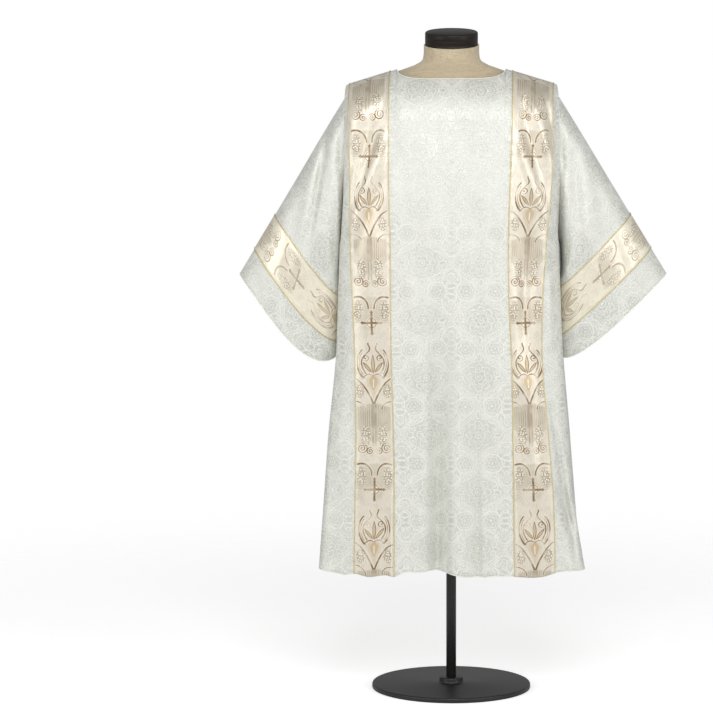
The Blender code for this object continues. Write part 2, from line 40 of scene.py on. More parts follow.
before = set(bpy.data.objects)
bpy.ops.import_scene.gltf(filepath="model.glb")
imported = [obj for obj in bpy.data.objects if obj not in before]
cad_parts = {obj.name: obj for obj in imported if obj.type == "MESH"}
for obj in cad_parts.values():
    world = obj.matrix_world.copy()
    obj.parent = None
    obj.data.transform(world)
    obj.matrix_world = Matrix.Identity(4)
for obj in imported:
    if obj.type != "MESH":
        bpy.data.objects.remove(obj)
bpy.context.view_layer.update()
BODY = "root"

# Sizes shared with the solids: cloth and trim thicknesses and the gaps between pieces.
WALL = 0.0015
BAND_THICKNESS = 0.0010
EDGING_WIDTH = 0.0030
LAY_GAP = 0.0003
HALF_SEAM = 0.0003
SHOULDER_CLEARANCE = 0.0007
SLEEVE_STANDOFF = 0.0005

# Heights of the garment above the floor, and its boat neckline.
SHOULDER_NECK_Z = 1.556
SHOULDER_SLOPE = 0.306
SHOULDER_FOOT_Z = 1.420
UNDERARM_Z = 1.125
HEM_Z = 0.311
NECK_HALF_WIDTH = 0.134
NECK_CROWN = 0.003
NECK_SQUARENESS = 4
FRONT_NECK_DROP = 0.027
BACK_NECK_DROP = 0.026
ARMHOLE_WIDEST_Z = 1.320
ARMHOLE_FRONT_DEPTH = 0.088
ARMHOLE_BACK_DEPTH = 0.076
ARMHOLE_TOP_SHARE = 0.93
SHOULDER_INNER_X = 0.150
SHOULDER_OUTER_X = 0.2545
SHOULDER_EDGE_X = 0.2590

# Rows of cells down a panel and cells across each stretch of one half of it.
SHOULDER_ROWS = 22
ARMHOLE_ROWS = 42
SKIRT_ROWS = 118
FRONT_CELLS = (42, 24, 12, 12)
BACK_CELLS = (24, 14, 4, 9)

# Half widths of the front at each height, out to the orphrey's two edges and to the front fold.
FRONT_LINES = {
    "columns": ("z", "left_inner", "left_outer", "left_fold", "right_inner", "right_outer", "right_fold"),
    "rows": (
        (1.42, 0.153, 0.252, 0.2605, 0.147, 0.247, 0.2575),
        (1.30, 0.153, 0.249, 0.2625, 0.143, 0.246, 0.2575),
        (1.125, 0.149, 0.248, 0.271, 0.138, 0.232, 0.258),
        (0.98, 0.148, 0.243, 0.276, 0.140, 0.224, 0.264),
        (0.86, 0.147, 0.238, 0.280, 0.146, 0.223, 0.269),
        (0.65, 0.141, 0.236, 0.300, 0.150, 0.240, 0.284),
        (0.45, 0.140, 0.239, 0.314, 0.153, 0.254, 0.302),
        (0.31, 0.140, 0.241, 0.324, 0.155, 0.257, 0.326),
    ),
}
BACK_LINES = {
    "columns": ("z", "inner", "outer", "fold"),
    "rows": (
        (1.42, 0.150, 0.250, 0.2610),
        (1.30, 0.149, 0.248, 0.2630),
        (1.125, 0.147, 0.246, 0.268),
        (0.86, 0.146, 0.243, 0.276),
        (0.65, 0.147, 0.244, 0.294),
        (0.31, 0.149, 0.247, 0.322),
    ),
}
# How far forward (or back) of the shoulder line the same points stand, and the side seam's half width.
FRONT_DEPTHS = {
    "columns": ("z", "centre", "inner", "outer", "fold"),
    "rows": (
        (1.42, 0.130, 0.127, 0.104, 0.088),
        (1.30, 0.139, 0.136, 0.118, 0.099),
        (1.20, 0.144, 0.141, 0.125, 0.101),
        (1.125, 0.146, 0.143, 0.128, 0.098),
        (0.98, 0.148, 0.146, 0.133, 0.102),
        (0.65, 0.153, 0.151, 0.139, 0.110),
        (0.31, 0.160, 0.157, 0.146, 0.116),
    ),
}
BACK_DEPTHS = {
    "columns": ("z", "centre", "inner", "outer", "fold"),
    "rows": (
        (1.42, 0.108, 0.107, 0.089, 0.078),
        (1.30, 0.116, 0.115, 0.103, 0.087),
        (1.125, 0.126, 0.125, 0.114, 0.092),
        (0.98, 0.131, 0.130, 0.119, 0.096),
        (0.65, 0.138, 0.137, 0.126, 0.102),
        (0.31, 0.147, 0.145, 0.135, 0.108),
    ),
}
SIDE_SEAM = {
    "columns": ("z", "half_width"),
    "rows": (
        (1.42, 0.2640),
        (1.30, 0.2660),
        (1.20, 0.2655),
        (1.125, 0.2620),
        (0.98, 0.2520),
        (0.86, 0.2540),
        (0.65, 0.2720),
        (0.31, 0.3020),
    ),
}
# Folds hang as troughs (positive depth) or ridges along a line. Each row gives the line's top x and z, its
# bottom x and z, the fold's half width and depth, and 1 if it deepens to the hem or 0 if both ends die away.
FRONT_FOLDS = (
    (-0.024, 1.120, -0.034, 0.310, 0.030, 0.020, 1),
    (0.056, 1.180, 0.060, 0.310, 0.020, 0.009, 1),
    (-0.100, 0.760, -0.112, 0.310, 0.022, 0.010, 1),
    (0.115, 0.700, 0.112, 0.310, 0.020, 0.008, 1),
    (0.188, 1.250, 0.184, 0.780, 0.024, 0.020, 0),
    (0.257, 0.560, 0.316, 0.360, 0.013, 0.016, 0),
    (-0.162, 1.500, -0.246, 1.170, 0.016, 0.012, 0),
    (0.164, 1.490, 0.240, 1.210, 0.016, 0.012, 0),
    (-0.285, 0.620, -0.290, 0.310, 0.020, 0.008, 1),
)
BACK_FOLDS = (
    (0.040, 1.200, 0.050, 0.310, 0.028, 0.018, 1),
    (-0.060, 1.150, -0.070, 0.310, 0.026, 0.016, 1),
    (0.120, 0.800, 0.128, 0.310, 0.024, 0.012, 1),
    (-0.150, 1.480, -0.235, 1.200, 0.018, 0.011, 0),
    (0.155, 1.480, 0.235, 1.220, 0.018, 0.011, 0),
    (-0.190, 0.900, -0.200, 0.310, 0.024, 0.012, 1),
)
# Lighter creases that only the cloth shows, over the folds above.
FRONT_CREASES = (
    (-0.027, 1.020, -0.034, 0.310, 0.018, 0.0220, 1),
    (0.058, 0.900, 0.066, 0.310, 0.011, 0.0090, 1),
    (0.238, 0.780, 0.314, 0.300, 0.007, 0.0110, 0),
    (-0.008, 0.700, -0.012, 0.310, 0.010, 0.0050, 1),
    (-0.062, 1.050, -0.070, 0.420, 0.016, -0.0030, 0),
    (0.024, 1.000, 0.020, 0.330, 0.014, -0.0035, 0),
    (0.086, 0.950, 0.092, 0.330, 0.014, 0.0030, 0),
    (0.135, 0.640, 0.132, 0.310, 0.010, -0.0030, 1),
    (-0.128, 1.250, -0.126, 0.640, 0.012, 0.0022, 0),
    (-0.150, 1.440, -0.262, 1.120, 0.014, -0.0105, 0),
    (-0.150, 1.340, -0.250, 1.060, 0.012, 0.0070, 0),
    (-0.196, 1.470, -0.258, 1.260, 0.012, 0.0070, 0),
    (-0.175, 1.000, -0.186, 0.500, 0.016, 0.0035, 0),
    (-0.222, 0.900, -0.228, 0.330, 0.014, -0.0035, 0),
    (0.176, 1.505, 0.184, 1.400, 0.010, 0.0060, 0),
    (0.196, 1.490, 0.262, 1.270, 0.011, -0.0080, 0),
    (0.150, 1.430, 0.230, 1.180, 0.012, -0.0060, 0),
    (0.226, 1.500, 0.250, 1.380, 0.008, 0.0070, 0),
    (0.241, 1.090, 0.245, 0.860, 0.011, -0.0060, 0),
    (0.206, 0.870, 0.226, 0.460, 0.013, 0.0070, 0),
    (0.171, 0.700, 0.178, 0.310, 0.012, 0.0030, 1),
    (-0.268, 1.050, -0.300, 0.500, 0.012, 0.0045, 0),
    (0.040, 1.440, 0.020, 1.160, 0.022, 0.0018, 0),
    (-0.050, 1.400, -0.044, 1.120, 0.020, -0.0016, 0),
    (0.100, 1.480, 0.090, 1.200, 0.018, 0.0022, 0),
    (-0.104, 1.490, -0.096, 1.260, 0.016, 0.0020, 0),
)
BACK_CREASES = (
    (0.000, 1.480, 0.005, 0.900, 0.020, -0.0030, 0),
    (0.090, 1.300, 0.096, 0.500, 0.016, 0.0040, 0),
    (-0.110, 1.250, -0.118, 0.400, 0.018, 0.0045, 0),
    (0.205, 1.150, 0.214, 0.420, 0.016, 0.0050, 0),
    (-0.235, 1.050, -0.262, 0.420, 0.014, 0.0045, 0),
    (0.262, 0.900, 0.292, 0.340, 0.014, 0.0045, 0),
    (-0.010, 0.760, -0.014, 0.310, 0.014, 0.0050, 1),
    (0.170, 0.660, 0.176, 0.310, 0.013, -0.0040, 1),
    (-0.155, 0.720, -0.160, 0.310, 0.014, -0.0040, 1),
    (0.070, 1.480, 0.110, 1.330, 0.014, 0.0030, 0),
    (-0.075, 1.480, -0.115, 1.330, 0.014, 0.0030, 0),
)
# Long shallow waves of the hanging cloth: their lengths across and down, where they start, and their height.
RIPPLES = (
    (0.083, 0.41, 0.3, 0.0006),
    (0.127, -0.63, 1.9, 0.0009),
    (0.052, 0.37, 4.0, 0.0003),
    (0.210, 0.19, 2.2, 0.0006),
    (0.037, -0.11, 5.1, 0.00018),
)
# Where those waves start on each cut piece, in radians, so that no two pieces wave alike.
RIPPLE_STARTS = {"front": 0.0, "back": 2.6, "sleeve": 1.3}
# Small gathers beside a row of stitches: how far apart they stand, how far from it they reach, and the
# lengths over which they crowd together and over which they swell.
PUCKER_PITCH = 0.033
PUCKER_REACH = 0.009
PUCKER_CROWDING = 0.19
PUCKER_SWELL = 0.27
# How far off the shoulder line a panel, or a sleeve, hangs free enough for the whole depth of its folds.
PANEL_FREE_DEPTH = 0.06
SLEEVE_FREE_DEPTH = 0.05
# How far the front hem lifts above its level at each place across.
HEM_LIFT = {
    "columns": ("x", "lift"),
    "rows": (
        (-0.330, 0.0090),
        (-0.299, 0.0037),
        (-0.262, -0.0010),
        (-0.240, 0.0030),
        (-0.205, -0.0036),
        (-0.161, 0.0010),
        (-0.141, -0.0030),
        (-0.115, 0.0070),
        (-0.082, 0.0080),
        (-0.045, 0.0095),
        (-0.010, 0.0040),
        (0.022, -0.0020),
        (0.075, -0.0036),
        (0.150, -0.0012),
        (0.180, -0.0036),
        (0.232, -0.0010),
        (0.256, 0.0060),
        (0.330, 0.0088),
    ),
}
# The lift dies away up to this height, and is full where the cloth hangs two thirds free.
HEM_LIFT_TOP_Z = 0.70
HEM_LIFT_SPREAD = 1.5

# Sections of a sleeve square to its upper edge: each loop's underarm point, how far its middle sags outwards
# and how much of that lies low, and how far it swells to the front and to the back.
SLEEVE_EDGES = {
    "left": ((0.2590, 1.4920), (0.5280, 1.0498)),
    "right": ((0.2575, 1.4990), (0.5340, 1.0498)),
}
SLEEVE_COLUMNS = ("along", "bottom_x", "bottom_z", "sag", "skew", "front", "back")
LEFT_SLEEVE = {
    "columns": SLEEVE_COLUMNS,
    "rows": (
        (0.000, 0.2720, 1.1180, 0.009, 0.0, 0.088, 0.076),
        (0.220, 0.2730, 1.0600, 0.015, 0.0, 0.098, 0.087),
        (0.440, 0.2720, 1.0280, 0.012, 0.4, 0.097, 0.088),
        (0.662, 0.2700, 0.9990, 0.0105, 0.8, 0.088, 0.082),
        (0.859, 0.2760, 0.8880, 0.024, 0.65, 0.074, 0.070),
        (1.000, 0.2790, 0.8530, 0.044, 0.82, 0.066, 0.062),
    ),
}
RIGHT_SLEEVE = {
    "columns": SLEEVE_COLUMNS,
    "rows": (
        (0.000, 0.2720, 1.1180, 0.009, 0.0, 0.088, 0.076),
        (0.220, 0.2730, 1.0660, 0.013, 0.0, 0.097, 0.087),
        (0.440, 0.2700, 1.0400, 0.008, 0.0, 0.096, 0.088),
        (0.662, 0.2660, 1.0180, 0.0045, 0.0, 0.087, 0.082),
        (0.859, 0.2680, 0.8940, 0.0055, 0.1, 0.074, 0.070),
        (1.000, 0.2700, 0.8470, 0.0205, 0.80, 0.066, 0.062),
    ),
}
LEFT_SLEEVE_FOLDS = (
    (0.298, 1.450, 0.360, 1.090, 0.010, 0.0150, 0),
    (0.330, 1.150, 0.318, 0.880, 0.018, 0.005, 0),
    (0.286, 1.440, 0.300, 1.060, 0.014, -0.0100, 0),
    (0.277, 1.330, 0.280, 1.020, 0.009, -0.0160, 0),
    (0.360, 1.300, 0.420, 1.020, 0.016, 0.004, 0),
    (0.400, 1.180, 0.440, 0.960, 0.013, -0.002, 0),
)
RIGHT_SLEEVE_FOLDS = (
    (0.298, 1.390, 0.322, 1.080, 0.014, 0.006, 0),
    (0.345, 1.330, 0.392, 1.080, 0.016, 0.005, 0),
    (0.284, 1.410, 0.294, 1.010, 0.013, -0.008, 0),
    (0.276, 1.320, 0.278, 1.030, 0.009, -0.0120, 0),
    (0.322, 1.240, 0.348, 1.000, 0.011, -0.003, 0),
    (0.380, 1.200, 0.450, 1.000, 0.012, 0.004, 0),
)
BACK_SLEEVE_FOLDS = (
    (0.300, 1.360, 0.340, 1.080, 0.014, 0.010, 0),
    (0.350, 1.280, 0.400, 1.040, 0.014, 0.007, 0),
    (0.300, 1.120, 0.310, 0.900, 0.014, 0.006, 0),
)
ARMHOLE_REACH = 0.44
SLEEVES = {"left": (LEFT_SLEEVE, LEFT_SLEEVE_FOLDS), "right": (RIGHT_SLEEVE, RIGHT_SLEEVE_FOLDS)}
SIDES = tuple(SLEEVES)
BAND_START = 0.662
BAND_END = 0.859
SLEEVE_STATIONS = 84
# Powers of a loop's swell and sag: a lower one is fuller. The front's swell is fuller towards the underarm.
LOOP_POWER = 0.7
FRONT_POWER_DROP = 0.28
SAG_POWER = 0.85

# How far a cut edge stands out in its soft round, as a share of the cloth's thickness.
EDGE_ROUND = 0.4
# Gold cord: its sides, its steps to a turn and its ply, then its height and its lift as shares of its width.
CORD_SIDES = 8
CORD_STEPS = 4
CORD_PLY = 0.16
CORD_HEIGHT = 0.75
CORD_LIFT = 0.3
# Bands are drawn in at both edges under their cords. The rolled edge runs a little past each neckline corner.
BAND_DRAW_IN = 0.001
ROLL_PITCH = 0.012
ROLL_PAST_NECK = 0.004
# Height of a flower's middle on the front, and of the crosses on the shoulders, above the floor.
DAMASK_MIDDLE_Z = 1.296
CROSS_Z = {"left": 1.343, "right": 1.342}
# Along each sleeve band, from the ridge of the sleeve down its front to the middle of the cross.
SLEEVE_CROSS = {"left": 0.185, "right": 0.188}
# How far the damask's yarns wander off their lines, in millimetres.
DAMASK_WANDER = 9.0

# Dress form: rings of the torso with their depths before and behind the shoulder line, the neck, the stand.
TORSO_RINGS = {
    "columns": ("z", "half_width", "front", "back", "squareness"),
    "rows": (
        (0.860, 0.152, 0.102, 0.098, 2.2),
        (0.866, 0.158, 0.108, 0.104, 2.2),
        (0.950, 0.166, 0.117, 0.111, 2.3),
        (1.040, 0.148, 0.113, 0.099, 2.3),
        (1.120, 0.137, 0.109, 0.089, 2.3),
        (1.210, 0.150, 0.115, 0.091, 2.4),
        (1.310, 0.170, 0.121, 0.095, 2.5),
        (1.400, 0.186, 0.114, 0.094, 2.5),
        (1.470, 0.195, 0.098, 0.084, 2.3),
        (1.510, 0.197, 0.082, 0.069, 2.1),
        (1.5285, 0.1930, 0.070, 0.057, 1.8),
    ),
}
SHOULDER_RIDGE_RINGS = ((0.1865, 0.067, 0.054, 1.6), (0.1600, 0.065, 0.051, 1.5), (0.1340, 0.064, 0.049, 1.5))
NECK_RINGS = (
    (1.5660, 0.0930, 0.068, 0.051, 0.0),
    (1.5770, 0.0745, 0.072, 0.054, 0.1),
    (1.5920, 0.0695, 0.076, 0.057, 0.5),
    (1.6150, 0.0690, 0.079, 0.059, 1.0),
)
NECK_CENTRE_Y = -0.010
NECK_TILT = math.radians(9.5)
UNDER_CLOTH_EASE = 0.0020
RING_POINTS = 96
TORSO_LEVELS = 60
NECK_LEVELS = 16
# Seams of the linen cover, the width of their hollows in ring points, and their depth.
COVER_SEAMS = 8
COVER_SEAM_WIDTH = 0.9
COVER_SEAM_DEPTH = 0.0010
# Neck cap: a flat top, a small step down to its rounded shoulder, and a fine groove turned near its foot.
CAP_RADIUS = 0.0655
CAP_HEIGHT = 0.0340
CAP_FLAT_INSET = 0.0100
CAP_STEP_INSET = 0.0085
CAP_STEP_DROP = 0.0008
CAP_ROUNDING = 0.0050
CAP_FOOT_ROUNDING = 0.0012
CAP_GROOVE_Z = 0.0052
CAP_GROOVE_HALF_WIDTH = 0.0008
CAP_GROOVE_DEPTH = 0.0006
CAP_SECTORS = 96
POLE_RADIUS = 0.0125
POLE_CHAMFER = 0.0010
POLE_SECTORS = 48
BASE_RADIUS = 0.2000
BASE_THICKNESS = 0.0120
BASE_ROUNDING = 0.0040
BASE_FOOT_ROUNDING = 0.0010
BASE_SECTORS = 128
HUB_RADIUS = 0.0300
HUB_HEIGHT = 0.0260
HUB_FILLET = 0.0040

# Studio: the floor's rings and the distance from the middle at which it starts to fade.
FLOOR_RADII = (0.6, 1.2, 2.0, 3.2)
FLOOR_SECTORS = 96
FLOOR_Z = -0.0005
FLOOR_FADE_START = 0.7
# Each lamp's place, what it is aimed at, its size and the setting that holds its power.
LAMPS = {
    "key": ((0.15, -3.2, 2.6), (0.0, 0.0, 1.20), 1.8, "key_power"),
    "left_fill": ((-3.2, -2.6, 1.6), (0.0, 0.0, 1.1), 2.4, "fill_power"),
    "right_fill": ((3.2, -2.6, 1.6), (0.0, 0.0, 1.1), 2.4, "fill_power"),
}
# The camera stands 0.15 degrees off level.
CAMERA_PLACE = (-0.004, -7.0, 1.5)
CAMERA_AIM = (-0.2338, -0.12, 0.8508)
CAMERA_ROLL = -0.0027
SENSOR_WIDTH = 36.0
CAMERA_REACH = 100.0


# ---------------------------------------------------------------------------------------------------------
# Shapes of the cloth
# ---------------------------------------------------------------------------------------------------------


def table_columns(table):
    """Each named column of a table as an array."""
    values = np.array(table["rows"], float)
    return {name: values[:, i] for i, name in enumerate(table["columns"])}


def smooth(knots, values, at):
    """A smooth curve through the values, kept level past its ends; knots run up or down."""
    knots = np.asarray(knots, float)
    values = np.asarray(values, float)
    if knots[0] > knots[-1]:
        knots = knots[::-1]
        values = values[::-1]
    at = np.clip(np.asarray(at, float), knots[0], knots[-1])
    steps = np.diff(knots)
    slopes = np.diff(values) / steps
    tangents = np.empty_like(values)
    tangents[0] = slopes[0]
    tangents[-1] = slopes[-1]
    weights = steps[1:] + steps[:-1]
    tangents[1:-1] = (slopes[:-1] * steps[1:] + slopes[1:] * steps[:-1]) / weights
    cell = np.clip(np.searchsorted(knots, at, side="right") - 1, 0, len(steps) - 1)
    t = (at - knots[cell]) / steps[cell]
    rise = values[cell + 1] - values[cell]
    start = tangents[cell] * steps[cell]
    end = tangents[cell + 1] * steps[cell]
    return values[cell] + t * start + t * t * (3 * rise - 2 * start - end) + t**3 * (start + end - 2 * rise)


def read(table, name, at, key="z"):
    """One column of a table at any place along its key column."""
    columns = table_columns(table)
    return smooth(columns[key], columns[name], at)


def read_all(table, at, key="z"):
    """Every column of a table, by name, at one place along its key column."""
    return {name: float(read(table, name, at, key)) for name in table["columns"]}


def shoulder_z(x):
    """Height of the shoulder line over a half width."""
    if x > NECK_HALF_WIDTH:
        return SHOULDER_NECK_Z - SHOULDER_SLOPE * (x - NECK_HALF_WIDTH)
    return SHOULDER_NECK_Z + NECK_CROWN * (1 - (x / NECK_HALF_WIDTH) ** 2)


def neck_drop(x, most):
    """How far the neckline lies below the shoulder line's height."""
    return 0.0 if x >= NECK_HALF_WIDTH else most * math.sqrt(1 - (x / NECK_HALF_WIDTH) ** NECK_SQUARENESS)


def armhole_depth(z, most):
    """How far the armhole seam stands off the shoulder line, front or back."""
    if z <= UNDERARM_Z + 1e-6:
        return 0.0
    if z > ARMHOLE_WIDEST_Z:
        return most * float(smooth((ARMHOLE_WIDEST_Z, SHOULDER_FOOT_Z), (1.0, ARMHOLE_TOP_SHARE), z))
    share = (ARMHOLE_WIDEST_Z - z) / (ARMHOLE_WIDEST_Z - UNDERARM_Z)
    return most * math.sqrt(max(0.0, 1 - share * share))


def fold_depth(folds, x, z):
    """Sum of the troughs and ridges at the points of a surface."""
    total = np.zeros_like(x)
    for top_x, top_z, bottom_x, bottom_z, half_width, depth, grows in folds:
        share = (top_z - z) / (top_z - bottom_z)
        inside = (share > 0) & ((share < 1.001) | bool(grows))
        reach = np.clip(share, 0, 1)
        along = np.sin(0.5 * np.pi * reach) if grows else np.sin(np.pi * reach)
        centre = top_x + (bottom_x - top_x) * share
        total += inside * depth * along * np.exp(-(((x - centre) / half_width) ** 2))
    return total


def ripple(x, z, start):
    """Height of the long shallow waves at the points of a surface."""
    total = np.zeros_like(x)
    for across, down, at, height in RIPPLES:
        total += height * np.sin(2 * np.pi * (x / across + z / down) + at + start)
    return total


def seam_pucker(gap, z):
    """Height of the small gathers that a row of stitches draws up, by the distance from it."""
    along = np.sin(2 * np.pi * z / PUCKER_PITCH + 2.0 * np.sin(2 * np.pi * z / PUCKER_CROWDING))
    swell = 0.6 + 0.4 * np.sin(2 * np.pi * z / PUCKER_SWELL + 1)
    height = bpy.context.scene.dalmatic_cloth.pucker
    return height * along * swell * np.exp(-((gap / PUCKER_REACH) ** 2))


def curve_through(points, shares):
    """Points on a smooth curve through a section's points; a share of 2.5 is midway from point 2 to 3."""
    points = np.asarray(points, float)
    lengths = np.linalg.norm(np.diff(points, axis=0), axis=1)
    knots = np.concatenate([[0.0], np.cumsum(np.maximum(lengths, 1e-6))])
    at = np.interp(shares, np.arange(len(points)), knots)
    return np.stack([smooth(knots, points[:, 0], at), smooth(knots, points[:, 1], at)], axis=1)


def levels(top, foot, rows):
    """Heights of the rows below the top, down to the foot."""
    return [top + (foot - top) * i / rows for i in range(1, rows + 1)]


class Panel:
    """One panel's middle surface, as points[row, column], with the columns of its orphreys by side."""

    def __init__(self, front):
        self.front = front
        self.name = "front" if front else "back"
        self.way_out = 1.0 if front else -1.0
        self.lines = FRONT_LINES if front else BACK_LINES
        self.depths = FRONT_DEPTHS if front else BACK_DEPTHS
        self.folds = FRONT_FOLDS + FRONT_CREASES if front else BACK_FOLDS + BACK_CREASES
        self.neck_most = FRONT_NECK_DROP if front else BACK_NECK_DROP
        self.armhole_most = ARMHOLE_FRONT_DEPTH if front else ARMHOLE_BACK_DEPTH
        self.shares = self.spread(FRONT_CELLS if front else BACK_CELLS)
        left = self.half("left")
        right = self.half("right")
        self.points = np.concatenate([left[:, :0:-1], right], axis=1)
        self.normals = surface_normals(self.points, False, self.way_out)
        self.centre = left.shape[1] - 1

    def spread(self, cells):
        """Where the columns of one half stand on its section."""
        self.inner_column = cells[0]
        self.outer_column = cells[0] + cells[1]
        stretches = [i + np.arange(count) / count for i, count in enumerate(cells)]
        return np.concatenate([*stretches, [float(len(cells))]])

    def section(self, side, z):
        """The five (half width, depth) points that a level section runs through."""
        names = [f"{side}_{name}" if self.front else name for name in ("inner", "outer", "fold")]
        widths = [float(read(self.lines, name, z)) for name in names]
        depths = [float(read(self.depths, name, z)) for name in ("centre", "inner", "outer", "fold")]
        seam = float(read(SIDE_SEAM, "half_width", z))
        return list(zip([0.0, *widths, seam], [*depths, armhole_depth(z, self.armhole_most)]))

    def shoulder_rows(self, side):
        """Rows that bend from the shoulder line, or from the neckline, down to the foot of the shoulder."""
        foot = curve_through(self.section(side, SHOULDER_FOOT_Z), self.shares)
        between = (SHOULDER_OUTER_X + SHOULDER_EDGE_X) / 2
        top_line = [(x, 0.0) for x in (0.0, SHOULDER_INNER_X, SHOULDER_OUTER_X, between, SHOULDER_EDGE_X)]
        top_x = curve_through(top_line, self.shares)[:, 0]
        ridge = np.array([shoulder_z(x) for x in top_x])
        drop = np.array([neck_drop(x, self.neck_most) for x in top_x])
        height = ridge - SHOULDER_FOOT_Z
        start = np.arccos(1 - drop / height)
        rows = []
        for row in range(SHOULDER_ROWS + 1):
            angle = start + (math.pi / 2 - start) * row / SHOULDER_ROWS
            x = top_x + (foot[:, 0] - top_x) * np.sin(angle)
            z = ridge - height * (1 - np.cos(angle))
            rows.append(np.stack([x, foot[:, 1] * np.sin(angle), z], axis=1))
        return rows

    def hanging_rows(self, side):
        """Level rows below the shoulder, down to the hem."""
        rows = []
        for z in levels(SHOULDER_FOOT_Z, UNDERARM_Z, ARMHOLE_ROWS) + levels(UNDERARM_Z, HEM_Z, SKIRT_ROWS):
            level = curve_through(self.section(side, z), self.shares)
            rows.append(np.concatenate([level, np.full((len(level), 1), z)], axis=1))
        return rows

    def half(self, side):
        """One half from its middle column outwards, with its folds, waves and puckers."""
        mirror = -1.0 if side == "left" else 1.0
        grid = np.array(self.shoulder_rows(side) + self.hanging_rows(side))
        x, z = mirror * grid[..., 0], grid[..., 2].copy()
        hang = np.clip((grid[..., 1] - HALF_SEAM) / PANEL_FREE_DEPTH, 0, 1)
        grid[..., 1] -= hang * fold_depth(self.folds, x, z)
        grid[..., 1] += hang * ripple(x, z, RIPPLE_STARTS[self.name])
        for column in (self.inner_column, self.outer_column):
            gap = grid[..., 0] - grid[:, column : column + 1, 0]
            grid[..., 1] += hang * seam_pucker(gap, z)
        grid[..., 1] = np.maximum(grid[..., 1], HALF_SEAM)
        if self.front:
            low = np.clip((HEM_LIFT_TOP_Z - z) / (HEM_LIFT_TOP_Z - HEM_Z), 0, 1)
            lift = read(HEM_LIFT, "lift", x, "x")
            grid[..., 2] += lift * low**2 * np.clip(hang * HEM_LIFT_SPREAD, 0, 1)
        return grid * (mirror, -self.way_out, 1.0)

    def armhole(self, side):
        """The seam's points from the shoulder to the underarm."""
        column = 0 if side == "left" else -1
        return self.points[: SHOULDER_ROWS + ARMHOLE_ROWS + 1, column]

    def band_columns(self, side):
        """Column numbers of the orphrey, from its inner edge outwards."""
        step = -1 if side == "left" else 1
        return [self.centre + step * i for i in range(self.inner_column, self.outer_column + 1)]


class Sleeve:
    """One sleeve's middle surface, as points[loop, round] from seam to cuff, and the rows of its band."""

    def __init__(self, side, front, back):
        self.side = side
        self.way_out = 1.0 if side == "left" else -1.0
        mirror = (-self.way_out, 1.0, 1.0)
        seam = np.concatenate([front.armhole(side), back.armhole(side)[-2:0:-1]]) * mirror
        self.underarm = len(front.armhole(side)) - 1
        seam[:, 0] += SLEEVE_STANDOFF
        seam[[0, self.underarm], 1] = 0.0
        trim = EDGING_WIDTH / math.dist(*SLEEVE_EDGES[side])
        stations = np.linspace(0.0, 1.0, SLEEVE_STATIONS + 1)
        for edge in (BAND_START, BAND_START + trim, BAND_END - trim, BAND_END):
            stations[np.abs(stations - edge).argmin()] = edge
        self.first, self.last = [1 + int(np.abs(stations - edge).argmin()) for edge in (BAND_START, BAND_END)]
        angles = np.pi * np.arange(2 * self.underarm) / self.underarm
        profile = self.seam_profile(seam)
        self.points = np.array([seam] + [self.loop(along, angles, profile) for along in stations]) * mirror
        self.normals = surface_normals(self.points, True, self.way_out)

    def seam_profile(self, seam):
        """How low each point of the armhole seam lies and how far it swells, as shares of the whole."""
        drop = (seam[0, 2] - seam[:, 2]) / (seam[0, 2] - seam[self.underarm, 2])
        most = np.where(np.arange(len(seam)) < self.underarm, -seam[:, 1].min(), seam[:, 1].max())
        return drop, np.abs(seam[:, 1]) / most

    def loop(self, along, angles, profile):
        """Points round one loop; angles run from the upper edge down the front and up the back."""
        table, folds = SLEEVES[self.side]
        seam_drop, seam_swell = profile
        settled = float(smooth((0.0, ARMHOLE_REACH), (0.0, 1.0), min(along, ARMHOLE_REACH)))
        at = read_all(table, along, "along")
        start, end = np.array(SLEEVE_EDGES[self.side])
        top = start + (end - start) * along
        chord = np.array([at["bottom_x"], at["bottom_z"]]) - top
        outwards = np.array([-chord[1], chord[0]]) / np.linalg.norm(chord)
        front = angles < math.pi
        low = (1 - np.cos(angles)) / 2
        sag = at["sag"] * np.abs(np.sin(angles)) ** SAG_POWER * (1 - at["skew"] * np.cos(angles))
        drop = seam_drop + (low - seam_drop) * settled
        flat = top + chord * drop[:, None] + outwards * sag[:, None]
        x, z = flat[:, 0], flat[:, 1]
        power = LOOP_POWER - np.where(front, FRONT_POWER_DROP * low, 0)
        swell = seam_swell + (np.abs(np.sin(angles)) ** power - seam_swell) * settled
        depth = np.where(front, at["front"], at["back"]) * swell
        creases = np.where(front, fold_depth(folds, x, z), fold_depth(BACK_SLEEVE_FOLDS, x, z))
        waves = ripple(x, z, RIPPLE_STARTS["sleeve"])
        depth = depth + np.clip(depth / SLEEVE_FREE_DEPTH, 0, 1) * (waves - creases)
        return np.stack([x, np.where(front, -depth, depth), z], axis=1)


def surface_normals(grid, closed, way_out):
    """Unit normals at the points of a grid; way_out is +1 or -1, whichever turns them out of the garment."""
    down = np.gradient(grid, axis=0)
    if closed:
        across = (np.roll(grid, -1, axis=1) - np.roll(grid, 1, axis=1)) / 2
    else:
        across = np.gradient(grid, axis=1)
    found = np.cross(down, across) * way_out
    return found / np.linalg.norm(found, axis=2, keepdims=True)


def lengths_along(grid, axis):
    """Distance along the cloth from the first point of each line of a grid."""
    steps = np.linalg.norm(np.diff(grid, axis=axis), axis=2)
    zero = np.zeros_like(np.take(steps, [0], axis=axis))
    return np.concatenate([zero, np.cumsum(steps, axis=axis)], axis=axis)


def come_round(values, axis=0):
    """The values with the first one again at the end, for a line that closes on itself."""
    return np.concatenate([values, np.take(values, [0], axis=axis)], axis=axis)


# ---------------------------------------------------------------------------------------------------------
# Meshes
# ---------------------------------------------------------------------------------------------------------


